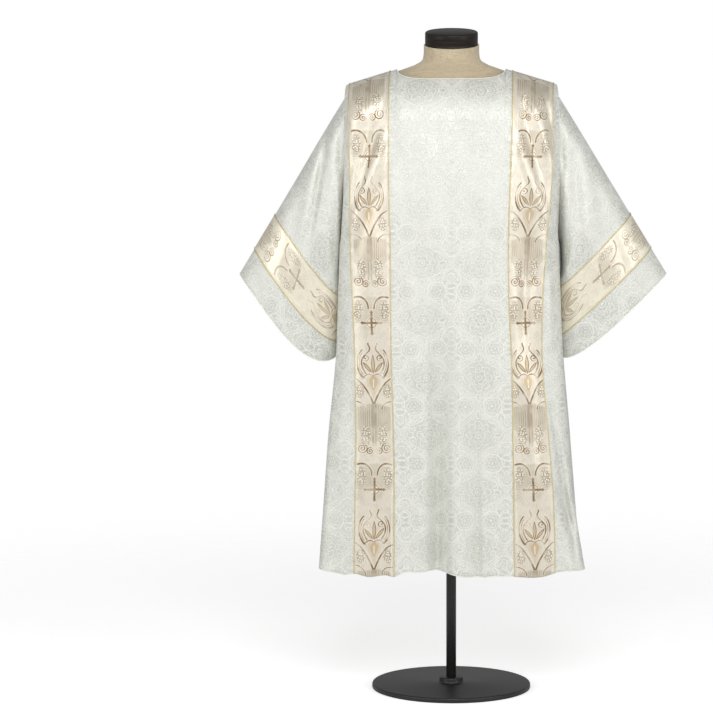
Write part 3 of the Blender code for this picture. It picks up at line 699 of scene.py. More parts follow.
def add_mesh(name, points, faces, surface, corners=None):
    """A mesh object with smooth faces; corners holds each face corner's place on the flat cloth."""
    mesh = bpy.data.meshes.new(name)
    mesh.from_pydata([tuple(p) for p in points], [], [tuple(f) for f in faces])
    if corners is not None:
        layer = mesh.uv_layers.new(name="flat_cloth")
        layer.data.foreach_set("uv", np.asarray(corners, np.float32).ravel())
    mesh.shade_smooth()
    mesh.materials.append(surface)
    made = bpy.data.objects.new(name, mesh)
    bpy.context.scene.collection.objects.link(made)
    return made


def finish_piece(made, nodes=()):
    """The piece rides on the object's body and stands for its nodes."""
    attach(made, BODY)
    if nodes:
        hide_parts(*nodes)
    return made


def cloth_shell(name, grid, flat, closed, way_out, above, below, surface):
    """A wall of cloth from a grid: its outer and inner faces, with every cut edge turned in a soft round.

    flat holds the grid's places on the cut cloth; a closed grid has one more column there than points."""
    rows, columns = grid.shape[:2]
    normals = surface_normals(grid, closed, way_out)
    count = rows * columns
    index = np.arange(count).reshape(rows, columns)
    nearer = np.roll(index, -1, axis=1) if closed else index[:, 1:]
    width = columns if closed else columns - 1
    a, b = index[:-1, :width], index[1:, :width]
    c, d = nearer[1:, :width], nearer[:-1, :width]
    outer = np.stack([a, b, c, d], axis=-1).reshape(-1, 4)
    left, right = flat[:, :width], flat[:, 1 : width + 1]
    spots = np.stack([left[:-1], left[1:], right[1:], right[:-1]], axis=2).reshape(-1, 4, 2)
    if way_out < 0:
        outer, spots = outer[:, ::-1], spots[:, ::-1]
    points = [(grid + normals * above).reshape(-1, 3), (grid - normals * below).reshape(-1, 3)]
    faces = [outer, outer[:, ::-1] + count]
    corners = [spots, spots[:, ::-1]]
    if closed:
        rims = [(index[0], index[1]), (index[-1], index[-2])]
    else:
        rims = [(border(index), border(index, 1))]
    base = 2 * count
    for edge, inside in rims:
        out = grid.reshape(-1, 3)[edge] - grid.reshape(-1, 3)[inside]
        out /= np.linalg.norm(out, axis=1, keepdims=True)
        points.append((points[0][edge] + points[1][edge]) / 2 + out * (above + below) * EDGE_ROUND)
        ring = base + np.arange(len(edge))
        base += len(edge)
        after, ring_after = np.roll(edge, -1), np.roll(ring, -1)
        first = np.stack([edge, after, ring_after, ring], axis=-1)
        second = np.stack([ring, ring_after, after + count, edge + count], axis=-1)
        turn = slice(None, None, -1 if looks_away(np.concatenate(points)[first[0]], out[0]) else 1)
        place = flat[edge // columns, edge % columns]
        beside = np.roll(place, -1, axis=0)
        pair = np.stack([place, beside, beside, place], axis=1)
        faces += [first[:, turn], second[:, turn]]
        corners += [pair[:, turn], pair[:, turn]]
    return add_mesh(name, np.concatenate(points), np.concatenate(faces), surface, np.concatenate(corners))


def border(index, inwards=0):
    """Point numbers round the edge of an open grid, or those one row in from it."""
    rows, columns = index.shape
    loop = [(0, j) for j in range(columns)] + [(i, columns - 1) for i in range(1, rows)]
    loop += [(rows - 1, j) for j in range(columns - 2, -1, -1)] + [(i, 0) for i in range(rows - 2, 0, -1)]
    if inwards:
        loop = [(min(max(i, 1), rows - 2), min(max(j, 1), columns - 2)) for i, j in loop]
    return np.array([index[i, j] for i, j in loop])


def looks_away(corners, out):
    """True if a face with these corners looks the other way from out."""
    normal = np.cross(corners[1] - corners[0], corners[2] - corners[0])
    return float(np.dot(normal, out)) < 0


def twisted_cord(name, path, normals, width, height, pitch, surface, closed=False, ply=CORD_PLY):
    """A two-ply cord laid along a path: an oval tube whose section turns, or a plain roll if ply is 0."""
    lengths = np.concatenate([[0.0], np.cumsum(np.linalg.norm(np.diff(path, axis=0), axis=1))])
    count = max(12, int(lengths[-1] / (pitch / CORD_STEPS)))
    at = np.linspace(0, lengths[-1], count + 1)[: count if closed else count + 1]
    centre = np.stack([np.interp(at, lengths, path[:, k]) for k in range(3)], axis=1)
    up = np.stack([np.interp(at, lengths, normals[:, k]) for k in range(3)], axis=1)
    up /= np.linalg.norm(up, axis=1, keepdims=True)
    if closed:
        ahead = np.roll(centre, -1, axis=0) - np.roll(centre, 1, axis=0)
    else:
        ahead = np.gradient(centre, axis=0)
    side = np.cross(ahead, up)
    side /= np.linalg.norm(side, axis=1, keepdims=True)
    angles = 2 * np.pi * np.arange(CORD_SIDES) / CORD_SIDES
    twist = 1 + ply * np.cos(2 * (angles[None, :] - np.pi * at[:, None] / pitch))
    rings = centre[:, None] + side[:, None] * (np.cos(angles) * width / 2 * twist)[..., None]
    rings = rings + up[:, None] * (np.sin(angles) * height / 2 * twist)[..., None]
    index = np.arange(len(rings) * CORD_SIDES).reshape(-1, CORD_SIDES)
    after = np.roll(index, -1, axis=0) if closed else index[1:]
    first = index if closed else index[:-1]
    quads = np.stack([first, after, np.roll(after, -1, axis=1), np.roll(first, -1, axis=1)], axis=-1)
    faces = [tuple(f) for f in quads.reshape(-1, 4)]
    step_v, step_u = lengths[-1] / max(1, len(first)), np.pi * width / CORD_SIDES
    v, u = np.meshgrid(np.arange(len(first)) * step_v, np.arange(CORD_SIDES) * step_u, indexing="ij")
    spots = [(u, v), (u, v + step_v), (u + step_u, v + step_v), (u + step_u, v)]
    corners = list(np.stack([np.stack(spot, axis=-1) for spot in spots], axis=2).reshape(-1, 2))
    if not closed:
        faces += [tuple(index[0]), tuple(index[-1][::-1])]
        corners += [(0.0, 0.0)] * (2 * CORD_SIDES)
    return add_mesh(name, rings.reshape(-1, 3), faces, surface, corners)


def disc(radii, heights, steps):
    """Points and faces of a disc about Z: its middle, at the first height, then its rings outwards."""
    angles = 2 * np.pi * np.arange(steps) / steps
    points = [(0.0, 0.0, heights[0])]
    points += [(r * math.cos(a), r * math.sin(a), z) for r, z in zip(radii, heights[1:]) for a in angles]
    faces = [(0, 1 + j, 1 + (j + 1) % steps) for j in range(steps)]
    for start in range(1, 1 + (len(radii) - 1) * steps, steps):
        for j in range(steps):
            k = (j + 1) % steps
            faces.append((start + j, start + steps + j, start + steps + k, start + k))
    return points, faces


def turned(name, profile, steps, surface, place=(0, 0, 0), tilt=0.0):
    """A solid turned about Z from (radius, height) points, top down, with both its ends on the axis."""
    radii, heights = zip(*profile)
    points, faces = disc(radii[1:-1], heights[:-1], steps)
    last, foot = len(points) - steps, len(points)
    points.append((0.0, 0.0, heights[-1]))
    faces += [(foot, last + (j + 1) % steps, last + j) for j in range(steps)]
    made = add_mesh(name, points, faces, surface)
    made.data.transform(Matrix.Translation(place) @ Matrix.Rotation(tilt, 4, "X"))
    return made


def rounded(radius, height, rounding, top, steps=5):
    """Points round an outer corner of a turned profile, at its top or at its foot."""
    found = []
    for i in range(steps + 1):
        angle = math.pi / 2 * i / steps
        out, up = (math.sin(angle), math.cos(angle)) if top else (math.cos(angle), math.sin(angle))
        sign = 1 if top else -1
        found.append((radius - rounding * (1 - out), height - sign * rounding * (1 - up)))
    return found


# ---------------------------------------------------------------------------------------------------------
# Materials
# ---------------------------------------------------------------------------------------------------------


def linear(hex_text):
    """An sRGB hex colour as linear red, green, blue."""
    shares = [int(hex_text[i : i + 2], 16) / 255 for i in (1, 3, 5)]
    return tuple(s / 12.92 if s <= 0.04045 else ((s + 0.055) / 1.055) ** 2.4 for s in shares)


WHITE_LIGHT = (*linear("#FFFFFF"), 1.0)


def add_node(tree, kind, settings=None, links=None):
    """A node with its settings, which name a property or an input, and its links, from input to source."""
    node = tree.nodes.new(kind)
    for name, value in (settings or {}).items():
        if isinstance(name, str) and hasattr(node, name):
            setattr(node, name, value)
        else:
            node.inputs[name].default_value = value
    for name, source in (links or {}).items():
        tree.links.new(source, node.inputs[name])
    return node


# What the charts' words and signs stand for.
MATHS = {
    "abs": "ABSOLUTE",
    "min": "MINIMUM",
    "max": "MAXIMUM",
    "sin": "SINE",
    "cos": "COSINE",
    "sqrt": "SQRT",
    "mod": "FLOORED_MODULO",
    "atan2": "ARCTAN2",
}
SIGNS = {ast.Add: "ADD", ast.Sub: "SUBTRACT", ast.Mult: "MULTIPLY", ast.Div: "DIVIDE"}
SUMS = {
    "ADD": lambda a, b: a + b,
    "SUBTRACT": lambda a, b: a - b,
    "MULTIPLY": lambda a, b: a * b,
    "DIVIDE": lambda a, b: a / b,
}
# Shapes that the charts below draw: each gives the distance to its edge in millimetres, less than 0 inside.
# Ink turns such a distance into cover, from 1 inside to 0 outside, over a soft edge.
SHAPES = {
    "oval": ("cx cy rx ry", "(sqrt(((x-cx)/rx)*((x-cx)/rx) + ((y-cy)/ry)*((y-cy)/ry)) - 1) * (rx+ry)/2"),
    "bar": ("cx cy w h", "max(abs(x-cx) - w, abs(y-cy) - h)"),
    "leaf": ("ax ay bx by r", "max(near(spot, ax, ay), near(spot, bx, by)) - r"),
    "ink": ("d soft", "min(max(0.5 - d/soft, 0), 1)"),
}


def draft(tree, formula, known, drawn):
    """Draws a formula as Math nodes and gives its socket or its number; drawn keeps what is drawn already."""
    node = ast.parse(formula).body[0].value if isinstance(formula, str) else formula
    if isinstance(node, ast.Constant):
        return float(node.value)
    if isinstance(node, ast.Name):
        return known[node.id]
    if isinstance(node, ast.UnaryOp):
        return join(tree, "MULTIPLY", [draft(tree, node.operand, known, drawn), -1.0], drawn)
    if isinstance(node, ast.BinOp):
        parts = [draft(tree, node.left, known, drawn), draft(tree, node.right, known, drawn)]
        return join(tree, SIGNS[type(node.op)], parts, drawn)
    name = node.func.id
    if name in SHAPES:
        letters, shape = SHAPES[name]
        sizes = [draft(tree, arg, known, drawn) for arg in node.args]
        return draft(tree, shape, {**known, **dict(zip(letters.split(), sizes))}, drawn)
    if name == "near":
        centre = tuple(draft(tree, arg, known, drawn) for arg in node.args[1:]) + (0.0,)
        place = known[node.args[0].id]
        key = ("near", place.as_pointer(), centre)
        if key not in drawn:
            gap = add_node(tree, "ShaderNodeVectorMath", {"operation": "DISTANCE", 1: centre}, {0: place})
            drawn[key] = gap.outputs["Value"]
        return drawn[key]
    if name == "read_line":
        return draw_line(tree, known[node.args[0].id], draft(tree, node.args[1], known, drawn), drawn)
    return join(tree, MATHS[name], [draft(tree, arg, known, drawn) for arg in node.args], drawn)


def join(tree, operation, parts, drawn):
    """One Math node over sockets and numbers, or the sum itself where all of them are numbers."""
    if all(isinstance(p, float) for p in parts):
        return SUMS[operation](*parts)
    key = (operation, *(p if isinstance(p, float) else p.as_pointer() for p in parts))
    if key not in drawn:
        numbers = {i: p for i, p in enumerate(parts) if isinstance(p, float)}
        sources = {i: p for i, p in enumerate(parts) if not isinstance(p, float)}
        drawn[key] = add_node(tree, "ShaderNodeMath", {"operation": operation, **numbers}, sources).outputs[0]
    return drawn[key]


def draw_line(tree, rows, source, drawn):
    """The value of a charted line of (where, value) rows at the source, kept level past its ends."""
    key = ("line", rows, source.as_pointer())
    if key not in drawn:
        low, high = rows[0][0], rows[-1][0]
        least, most = min(r[1] for r in rows), max(r[1] for r in rows)
        share = draft(tree, f"(s - {low}) / {high - low}", {"s": source}, drawn)
        node = add_node(tree, "ShaderNodeFloatCurve", {}, {"Value": share})
        curve = node.mapping.curves[0]
        spots = [((w - low) / (high - low), (v - least) / (most - least)) for w, v in rows]
        curve.points[0].location = spots[0]
        curve.points[1].location = spots[-1]
        for spot in spots[1:-1]:
            curve.points.new(*spot)
        node.mapping.update()
        drawn[key] = draft(tree, f"f * {most - least} + {least}", {"f": node.outputs[0]}, drawn)
    return drawn[key]


def draft_chart(tree, chart, known, drawn):
    """Drafts each line of a chart under its name, so that the lines after it can use it."""
    for name, formula in chart:
        known[name] = draft(tree, formula, known, drawn)


def start_material(name, settings=None):
    """A new material with its tree and its shader, whose settings are the same all over."""
    surface = bpy.data.materials.new(name)
    surface.use_nodes = True
    shader = surface.node_tree.nodes["Principled BSDF"]
    for socket, value in (settings or {}).items():
        shader.inputs[socket].default_value = value
    return surface, surface.node_tree, shader


def on_cloth(tree):
    """What every woven chart starts from: millimetres across and down the flat cloth."""
    flat = add_node(tree, "ShaderNodeUVMap", {"uv_map": "flat_cloth"}).outputs[0]
    parts = add_node(tree, "ShaderNodeSeparateXYZ", {}, {0: flat})
    drawn = {}
    known = {"flat": flat, "u": parts.outputs[0], "v": parts.outputs[1]}
    draft_chart(tree, (("across", "u*1000"), ("down", "v*1000")), known, drawn)
    return known, drawn


def in_the_round(tree):
    """What a finish that isn't woven starts from: the place on the object, in metres."""
    return {"place": add_node(tree, "ShaderNodeTexCoord").outputs["Object"]}, {}


def add_noise(tree, known, name, place, lumps, detail=2.0):
    """Unevenness of a yarn or a coat: so many lumps a metre each way, on the flat cloth or all round."""
    cloth = len(lumps) == 2
    stretch = (*lumps, 1.0) if cloth else lumps
    scaled = add_node(tree, "ShaderNodeVectorMath", {"operation": "MULTIPLY", 1: stretch}, {0: known[place]})
    settings = {"noise_dimensions": "2D" if cloth else "3D", "Scale": 1.0, "Detail": detail}
    known[name] = add_node(tree, "ShaderNodeTexNoise", settings, {"Vector": scaled.outputs[0]}).outputs["Fac"]


def set_spot(tree, known):
    """The point on the chart that near() measures from."""
    links = {0: known["x"], 1: known["y"]}
    known["spot"] = add_node(tree, "ShaderNodeCombineXYZ", {}, links).outputs[0]


def paint(tree, shader, ground, layers, known, drawn):
    """Lays the colour settings that the layers name over the ground's, each where its cover formula says."""
    colours = bpy.context.scene.dalmatic_colours
    settings, links = {6: (*getattr(colours, ground), 1.0)}, {}
    for shade, cover in layers:
        settings = {"data_type": "RGBA", **settings, 7: (*getattr(colours, shade), 1.0)}
        links[0] = draft(tree, cover, known, drawn)
        mixed = add_node(tree, "ShaderNodeMix", settings, links).outputs[2]
        settings, links = {}, {6: mixed}
    tree.links.new(mixed, shader.inputs["Base Color"])


def drive(tree, shader, formulas, known, drawn):
    """Gives each named socket of the shader the value of its formula."""
    for socket, formula in formulas.items():
        tree.links.new(draft(tree, formula, known, drawn), shader.inputs[socket])


def emboss(tree, shader, height, known, drawn, depth, strength=1.0):
    """Raises the shader's surface by so many metres where the height formula is 1."""
    source = draft(tree, height, known, drawn)
    bump = add_node(tree, "ShaderNodeBump", {"Strength": strength, "Distance": depth}, {"Height": source})
    tree.links.new(bump.outputs[0], shader.inputs["Normal"])


# One repeat of the damask, mirrored about its middle lines: an ogee net of beaded straps with leaf barbs,
# round quatrefoils that hold pomegranates and seeded flowers, and in each field between a double rose with
# buds and curling tendrils. Sizes are in millimetres on the cloth: W and H are half the repeat's width and
# height, and x2, y2 and r2 are measured from the rose's middle. The yarns' own wander bends every line a
# little. One turn is 6.2832, so turn*7.639, flower_turn*1.2732 and turn2*3.8197 count 48, 8 and 24 round.
DAMASK_CHART = (
    ("x", "abs(mod(across + (sway - 0.5)*WANDER + W, 2*W) - W)"),
    ("y", "abs(mod(down + (lilt - 0.5)*WANDER + H, 2*H) - H)"),
)
DAMASK_LINES = (
    ("ogee", "x/W + y/H - 1 + 0.09*sin(6.2832*x/W)"),
    ("strap", "abs(ogee) * 47"),
    ("strap_lines", "abs(strap - 4.4) - 1.2"),
    ("beads", "max(strap - 1.8, abs(mod(x - y, 8) - 4) - 2.3)"),
    ("barb_rows", "abs(mod(x*1.1 - y*0.9 + strap*0.7, 9) - 4.5) - 1.5"),
    ("barbs", "max(max(abs(strap - 9.4) - 3.2, ogee), barb_rows)"),
    ("quatrefoil", "min(near(spot, 0, 31) - 24, near(spot, 36, 0) - 23)"),
    ("outline", "abs(quatrefoil) - 1.6"),
    ("turn", "atan2(y, x)"),
    ("r", "near(spot, 0, 0)"),
    ("fringe_belt", "max(max(2.6 - quatrefoil, quatrefoil - 7.5), 32 - r)"),
    ("fringe", "max(fringe_belt, abs(mod(turn*7.639, 1) - 0.5)*r*0.4189 - 1.3)"),
    ("flower_turn", "atan2(y, x - 36)"),
    ("from_flower", "near(spot, 36, 0)"),
    ("flower", "min(abs(from_flower - 14.2 - 3.6*abs(cos(3*flower_turn))) - 1.2, from_flower - 2.8)"),
    ("seed_sides", "abs(mod(flower_turn*1.2732, 1) - 0.5)*from_flower*0.785 - 1.8"),
    ("seeds", "max(abs(from_flower - 8.6) - 1.8, seed_sides)"),
    ("fruit", "oval(0, 32, 8.5, 12)"),
    ("lattice", "min(abs(mod(x + y, 6) - 3), abs(mod(y - x, 6) - 3)) - 0.8"),
    ("pomegranate", "min(abs(fruit) - 1.3, max(fruit + 2.4, lattice))"),
    ("sprig", "min(abs(leaf(3, 37, 29, 33, 16)), abs(leaf(-1, 11, 18, 28, 15))) - 1.1"),
    ("rosette", "abs(r - 7 - 2.6*abs(cos(3*turn))) - 1.1"),
    ("x2", "W - x"),
    ("y2", "H - y"),
    ("r2", "sqrt(x2*x2 + y2*y2)"),
    ("turn2", "atan2(y2, x2)"),
    ("rose", "min(abs(r2 - 12.5 - 5.5*abs(cos(3*turn2))) - 1.3, abs(r2 - 25 - 8.5*abs(cos(4*turn2))) - 1.4)"),
    ("heart", "min(r2 - 3, abs(r2 - 7.6) - 1.1)"),
    ("veins", "max(abs(r2 - 22) - 3.4, abs(mod(turn2*3.8197, 1) - 0.5)*r2*0.2618 - 1.0)"),
    ("buds", "min(abs(oval(22, H, 9, 4.6)), abs(oval(W, 21, 4.6, 9))) - 1.2"),
    ("from_curl", "near(spot, 27, 58)"),
    ("curl", "max(abs(mod(from_curl/6.4 + atan2(y-58, x-27)/6.2832, 1) - 0.5)*6.4 - 1.3, from_curl - 10)"),
    ("from_hook", "near(spot, 58, 28)"),
    ("hook", "max(abs(mod(from_hook/6.4 - atan2(y-28, x-58)/6.2832, 1) - 0.5)*6.4 - 1.3, from_hook - 10)"),
    ("net", "min(min(strap_lines, beads), min(barbs, outline))"),
    ("blooms", "min(min(min(fringe, flower), min(seeds, sprig)), min(pomegranate, rosette))"),
    ("sprays", "min(min(min(rose, heart), min(veins, buds)), min(curl, hook))"),
    ("figure", "min(min(net, blooms), sprays) + (lumps - 0.5)*4.5"),
    ("cover", "ink(figure, 1.4)"),
    ("field", "ink(min(min(from_flower - 9, fruit + 2), min(r - 7, r2 - 20)), 6)"),
    ("vein", "ink(abs(mod(wave*14, 1) - 0.5)*4 - 0.8, 1.4)"),
)


@cache
def damask_material():
    """Viscose damask, jacquard woven.

    The satin ground turns its long floats to the light, so it glows where it faces the lamp and dulls where
    it turns away, while the matt figure stays the same: the pattern shows light on dark at the folds and
    ridges and nearly goes out on the chest. Yarns are 0.3 mm apart, too fine to show, so the grain is drawn
    2.4 mm wide."""
    sizes = bpy.context.scene.dalmatic_cloth
    settings = {"IOR": 1.5, "Specular IOR Level": 0.5, "Sheen Weight": 0.12, "Sheen Roughness": 0.5}
    surface, tree, shader = start_material("ivory_viscose_damask_jacquard_woven", settings)
    known, drawn = on_cloth(tree)
    known["W"], known["H"] = sizes.damask_width * 1000 / 2, sizes.damask_height * 1000 / 2
    known["WANDER"] = DAMASK_WANDER
    add_noise(tree, known, "sway", "flat", (64.0, 52.0))
    add_noise(tree, known, "lilt", "flat", (53.0, 67.0))
    add_noise(tree, known, "lumps", "flat", (330.0, 330.0))
    add_noise(tree, known, "wave", "flat", (26.0, 26.0), 1.0)
    add_noise(tree, known, "grain", "flat", (420.0, 300.0))
    draft_chart(tree, DAMASK_CHART, known, drawn)
    set_spot(tree, known)
    draft_chart(tree, DAMASK_LINES, known, drawn)
    layers = (
        ("damask_field", "field*0.3"),
        ("damask_figure", "vein*0.25"),
        ("damask_figure", "cover*(0.42 + lumps*0.78)"),
        ("damask_field", "min(max(grain - 0.5, 0)*3, 1)*0.5"),
    )
    paint(tree, shader, "damask_ground", layers, known, drawn)
    formulas = {"Roughness": "0.40 + cover*0.22 + grain*0.10", "Metallic": "0.42 - cover*0.32 - vein*0.08"}
    drive(tree, shader, formulas, known, drawn)
    emboss(tree, shader, "cover + grain*1.2", known, drawn, 0.0005, 0.6)
    return surface


# Lines of the brocade's half repeat, in millimetres: how far from its middle line each stands at each place
# down from the middle of the cross, or the other way round for the roof over the bud.
INNER_SCROLL = (
    (48.0, 11.0), (53.0, 10.8), (58.0, 8.5), (63.0, 7.2), (68.0, 8.6), (73.0, 13.0), (79.0, 19.0),
    (86.0, 24.5), (93.0, 27.4), (100.0, 28.0), (108.0, 26.8), (117.0, 23.0), (126.0, 17.5),
)  # fmt: skip
BUD_EDGE = (
    (130.0, 3.0), (136.0, 11.0), (143.0, 14.0), (152.0, 12.0), (162.0, 7.0), (172.0, 2.5), (180.0, 0.0),
)  # fmt: skip
SWEEP = (
    (136.0, 47.0), (139.0, 42.0), (143.0, 36.0), (148.0, 30.5), (154.0, 25.5), (161.0, 20.5),
    (168.0, 16.0), (176.0, 11.5), (184.0, 7.5), (192.0, 4.2), (200.0, 1.2),
)  # fmt: skip
ROOF = ((0.0, 131.0), (5.0, 127.5), (12.0, 126.5), (18.0, 129.5), (26.0, 138.0))
BROCADE_CHART = (
    ("x", "abs(across)"),
    ("y", "mod(down + 70, repeat) - 70"),
)
BROCADE_LINES = (
    ("r", "near(spot, 0, 0)"),
    ("turn", "atan2(y, x)"),
    ("arms", "min(bar(0, 0, 2.6, 28), bar(0, 0, 25, 2.6))"),
    ("upright_tip", "max(x + (abs(y) - 26)*0.75 - 4.2, 25 - abs(y))"),
    ("side_tip", "max(abs(y) + (x - 23)*0.75 - 4.2, 22 - x)"),
    ("cross", "min(arms, min(upright_tip, side_tip))"),
    ("nimbus", "abs(r - 11.5) - 0.9"),
    ("rays", "max(max(r*abs(sin(18*turn))/18 - 0.7, 14.5 - r), max(r - 46, abs(mod(r, 4) - 2) - 1.7))"),
    ("outer_scroll", "max(abs(oval(0, 100, 38.5, 46)) - 1.6 - max(y - 100, 0)*0.03, max(66 - y, y - 137))"),
    ("outer_lip", "max(abs(oval(0, 100, 33.5, 40.5)) - 0.8, max(74 - y, y - 128))"),
    ("inner_scroll", "max(abs(x - read_line(INNER_SCROLL, y))*0.8 - 1.4, max(49 - y, y - 126))"),
    ("from_curl", "near(spot, 17.5, 86)"),
    ("curl", "max(abs(mod(from_curl/7 + atan2(y-86, x-17.5)/6.2832, 1) - 0.5)*7 - 1.3, from_curl - 8.5)"),
    ("lily", "min(leaf(58.5, 102, -58.5, 102, 62.5), leaf(41.6, 133, -13.6, 87, 39.1))"),
    ("roof", "max(abs(y - read_line(ROOF, x)) - 1.5, x - 26)"),
    ("bud", "max(x + 3 - read_line(BUD_EDGE, y), max(130 - y, y - 180))"),
    ("bud_vein", "max(x - 1.3, max(140 - y, y - 160))"),
    ("sweep", "max(abs(x - read_line(SWEEP, y))*0.75 - 1.8, max(136 - y, y - 200))"),
    ("shoot", "max(abs(oval(46, 214, 26, 20)) - 1.2, max(y - 214, x - 47))"),
    ("stem", "max(abs(x - 3.6) - 1.2, max(200 - y, y - 306))"),
    ("reeds", "max(abs(mod(x + 1.5, 5.2) - 2.6) - 1.0, max(max(200 - y + x*0.2, y - 262 + x*0.4), x - 41))"),
    ("from_eye", "near(spot, 11, 317)"),
    ("volute", "max(abs(mod(from_eye/5 + atan2(y-317, x-11)/6.2832, 1) - 0.5)*5 - 1.1, from_eye - 9.5)"),
    ("from_horn", "near(spot, 30.5, 310)"),
    ("horn", "max(abs(mod(from_horn/6 - atan2(y-310, x-30.5)/6.2832, 1) - 0.5)*6 - 1.2, from_horn - 13.5)"),
    ("arch", "max(abs(oval(31, -36, 24, 28)) - 2.0, max(y + 34, x - 33))"),
    ("lintel", "max(abs(y + 64 - (x - 31)*(x - 31)*0.016) - 2.2, max(30 - x, x - 44))"),
    ("tip", "near(spot, 7, -37) - 2.2"),
    ("bunches", "min(min(oval(34, 168, 10.5, 16), oval(21, 279, 11, 25)), oval(33, -31, 11, 24))"),
    ("grape", "max(clump*7.4 - 2.9, bunches)"),
    ("grape_line", "max(abs(clump*7.4 - 3.3) - 0.8, bunches - 0.8)"),
    ("beading", "max(abs(x - 43.6) - 0.9, abs(mod(y, 3.2) - 1.6) - 1.0)"),
    ("scroll_lines", "min(min(outer_scroll, inner_scroll), min(curl, roof))"),
    ("lines", "min(scroll_lines, min(min(volute, horn), min(shoot, outer_lip)))"),
    ("bold", "min(min(cross, sweep), min(min(arch, lintel), min(abs(lily) - 0.9, tip)))"),
    ("dark", "max(ink(min(bold, nimbus), 0.8), ink(lines, 0.8))"),
    # A cream outline round every line: partly cream weft, partly painted highlight along the raised lines.
    ("pale", "ink(min(min(lines, bold), min(nimbus, bud)) - 1.6, 0.9)"),
    ("raised", "max(max(dark, ink(grape, 0.9)), ink(beading, 0.6))"),
    # The bronze wefts fade in and out at random along the band.
    ("worn", "min(max(mottle*3.2 - 0.85, 0.25), 1)"),
)
# Each yarn that floats over the ground, from the lowest: its colour's name and where it lies.
BROCADE_YARNS = (
    ("brocade_shade", "min(max(mottle - 0.5, 0)*3, 1)*0.5"),
    ("brocade_shade", "ink(max(oval(0, -22, 47, 42), y - 1), 5)*0.6"),
    ("brocade_shade", "ink(max(max(196 - y + x*0.3, y - 300 + x*0.9), x - 42), 6)*0.7"),
    # The cream outline, partly cream weft and partly painted highlight.
    ("brocade_cream_and_highlight", "pale*0.6"),
    ("brocade_tan", "ink(min(bud, lily), 1.2)*0.75"),
    ("brocade_tan", "ink(max(bud - 6, 128 - y), 5)*0.35"),
    ("brocade_cream_and_highlight", "ink(bud_vein, 0.8)*0.8"),
    ("brocade_bronze", "ink(rays, 0.7)*0.3*worn"),
    ("brocade_bronze", "ink(reeds, 0.8)*0.5*worn"),
    ("brocade_cream_and_highlight", "ink(grape, 0.9)*0.5"),
    ("brocade_bronze", "ink(grape_line, 0.9)*(0.35 + worn*0.5)"),
    ("brocade_bronze", "ink(stem, 0.8)*0.6*worn"),
    ("brocade_tan", "ink(min(lines, bold) - 1.0, 1.5)*0.35"),
    ("brocade_bronze", "ink(lines, 0.9)*worn"),
    ("brocade_bronze", "ink(min(bold, nimbus), 0.9)*(0.3 + worn*0.7)"),
    ("brocade_cream_and_highlight", "ink(beading, 0.5)*0.6"),
    ("brocade_shade", "min(max(grain - 0.48, 0)*3.5, 1)*0.5*(1 - dark)"),
)


@cache
def brocade_material(name="champagne_brocade_satin_woven", ground="brocade_ground", weft_strength=1.0):
    """Church brocade of viscose and metallised yarn, satin woven.

    The champagne ground is a satin whose highlights run along the folds; bronze and cream wefts float over it
    for the cross, scrolls, vines and reeds, and stand 0.3 mm proud. Its 0.35 mm ribs are drawn 2.5 mm apart
    to show."""
    settings = {"IOR": 1.5, "Specular IOR Level": 0.5, "Sheen Weight": 0.08, "Sheen Roughness": 0.4}
    surface, tree, shader = start_material(name, settings)
    known, drawn = on_cloth(tree)
    known.update({"INNER_SCROLL": INNER_SCROLL, "BUD_EDGE": BUD_EDGE, "SWEEP": SWEEP, "ROOF": ROOF})
    # Below 1 the wefts and taupe fields fade towards the ground: on the sleeve bands this is painted
    # highlight.
    known["DYE"] = weft_strength
    known["repeat"] = bpy.context.scene.dalmatic_cloth.brocade_repeat * 1000
    draft_chart(tree, BROCADE_CHART, known, drawn)
    set_spot(tree, known)
    settings = {"voronoi_dimensions": "2D", "Scale": 0.135, "Randomness": 0.7}
    clumps = add_node(tree, "ShaderNodeTexVoronoi", settings, {"Vector": known["spot"]})
    known["clump"] = clumps.outputs["Distance"]
    add_noise(tree, known, "grain", "flat", (400.0, 90.0))
    add_noise(tree, known, "mottle", "flat", (38.0, 30.0))
    draft_chart(tree, BROCADE_LINES, known, drawn)
    layers = [(yarn, f"({cover})*DYE") for yarn, cover in BROCADE_YARNS]
    paint(tree, shader, ground, layers, known, drawn)
    formulas = {"Roughness": "0.36 + raised*0.06 + grain*0.14", "Metallic": "0.46 - raised*0.05"}
    drive(tree, shader, formulas, known, drawn)
    emboss(tree, shader, "raised + grain*0.6", known, drawn, 0.0005, 0.7)
    return surface


def sleeve_brocade_material():
    """The same brocade with a paler ground and fainter wefts: painted highlight for the light that washes out
    the sleeve bands.
    """
    return brocade_material("pale_champagne_brocade_satin_woven", "brocade_highlit_ground", 0.65)


@cache
def gold_cord_material():
    """Metallised gold yarn, twisted into a cord: bright along each ply, with painted shade in the grooves
    between them.
    """
    surface, tree, shader = start_material("gold_yarn_twisted_cord", {"IOR": 1.5, "Metallic": 0.55})
    known, drawn = on_cloth(tree)
    known["half_turn"] = bpy.context.scene.dalmatic_cloth.cord_pitch * 1000 / 2
    # Half the way round the cord is 4.7 mm.
    known["groove"] = draft(tree, "abs(mod(down/half_turn + across/4.7, 1) - 0.5)*2", known, drawn)
    # Painted shade: the grooves between the plies are darkened in the colour.
    layers = (("gold_groove_shade", "min(max(groove - 0.62, 0)*3, 1)*0.8"),)
    paint(tree, shader, "gold_cord", layers, known, drawn)
    drive(tree, shader, {"Roughness": "0.38 + groove*0.15"}, known, drawn)
    emboss(tree, shader, "1 - groove*groove", known, drawn, 0.0004, 0.8)
    return surface


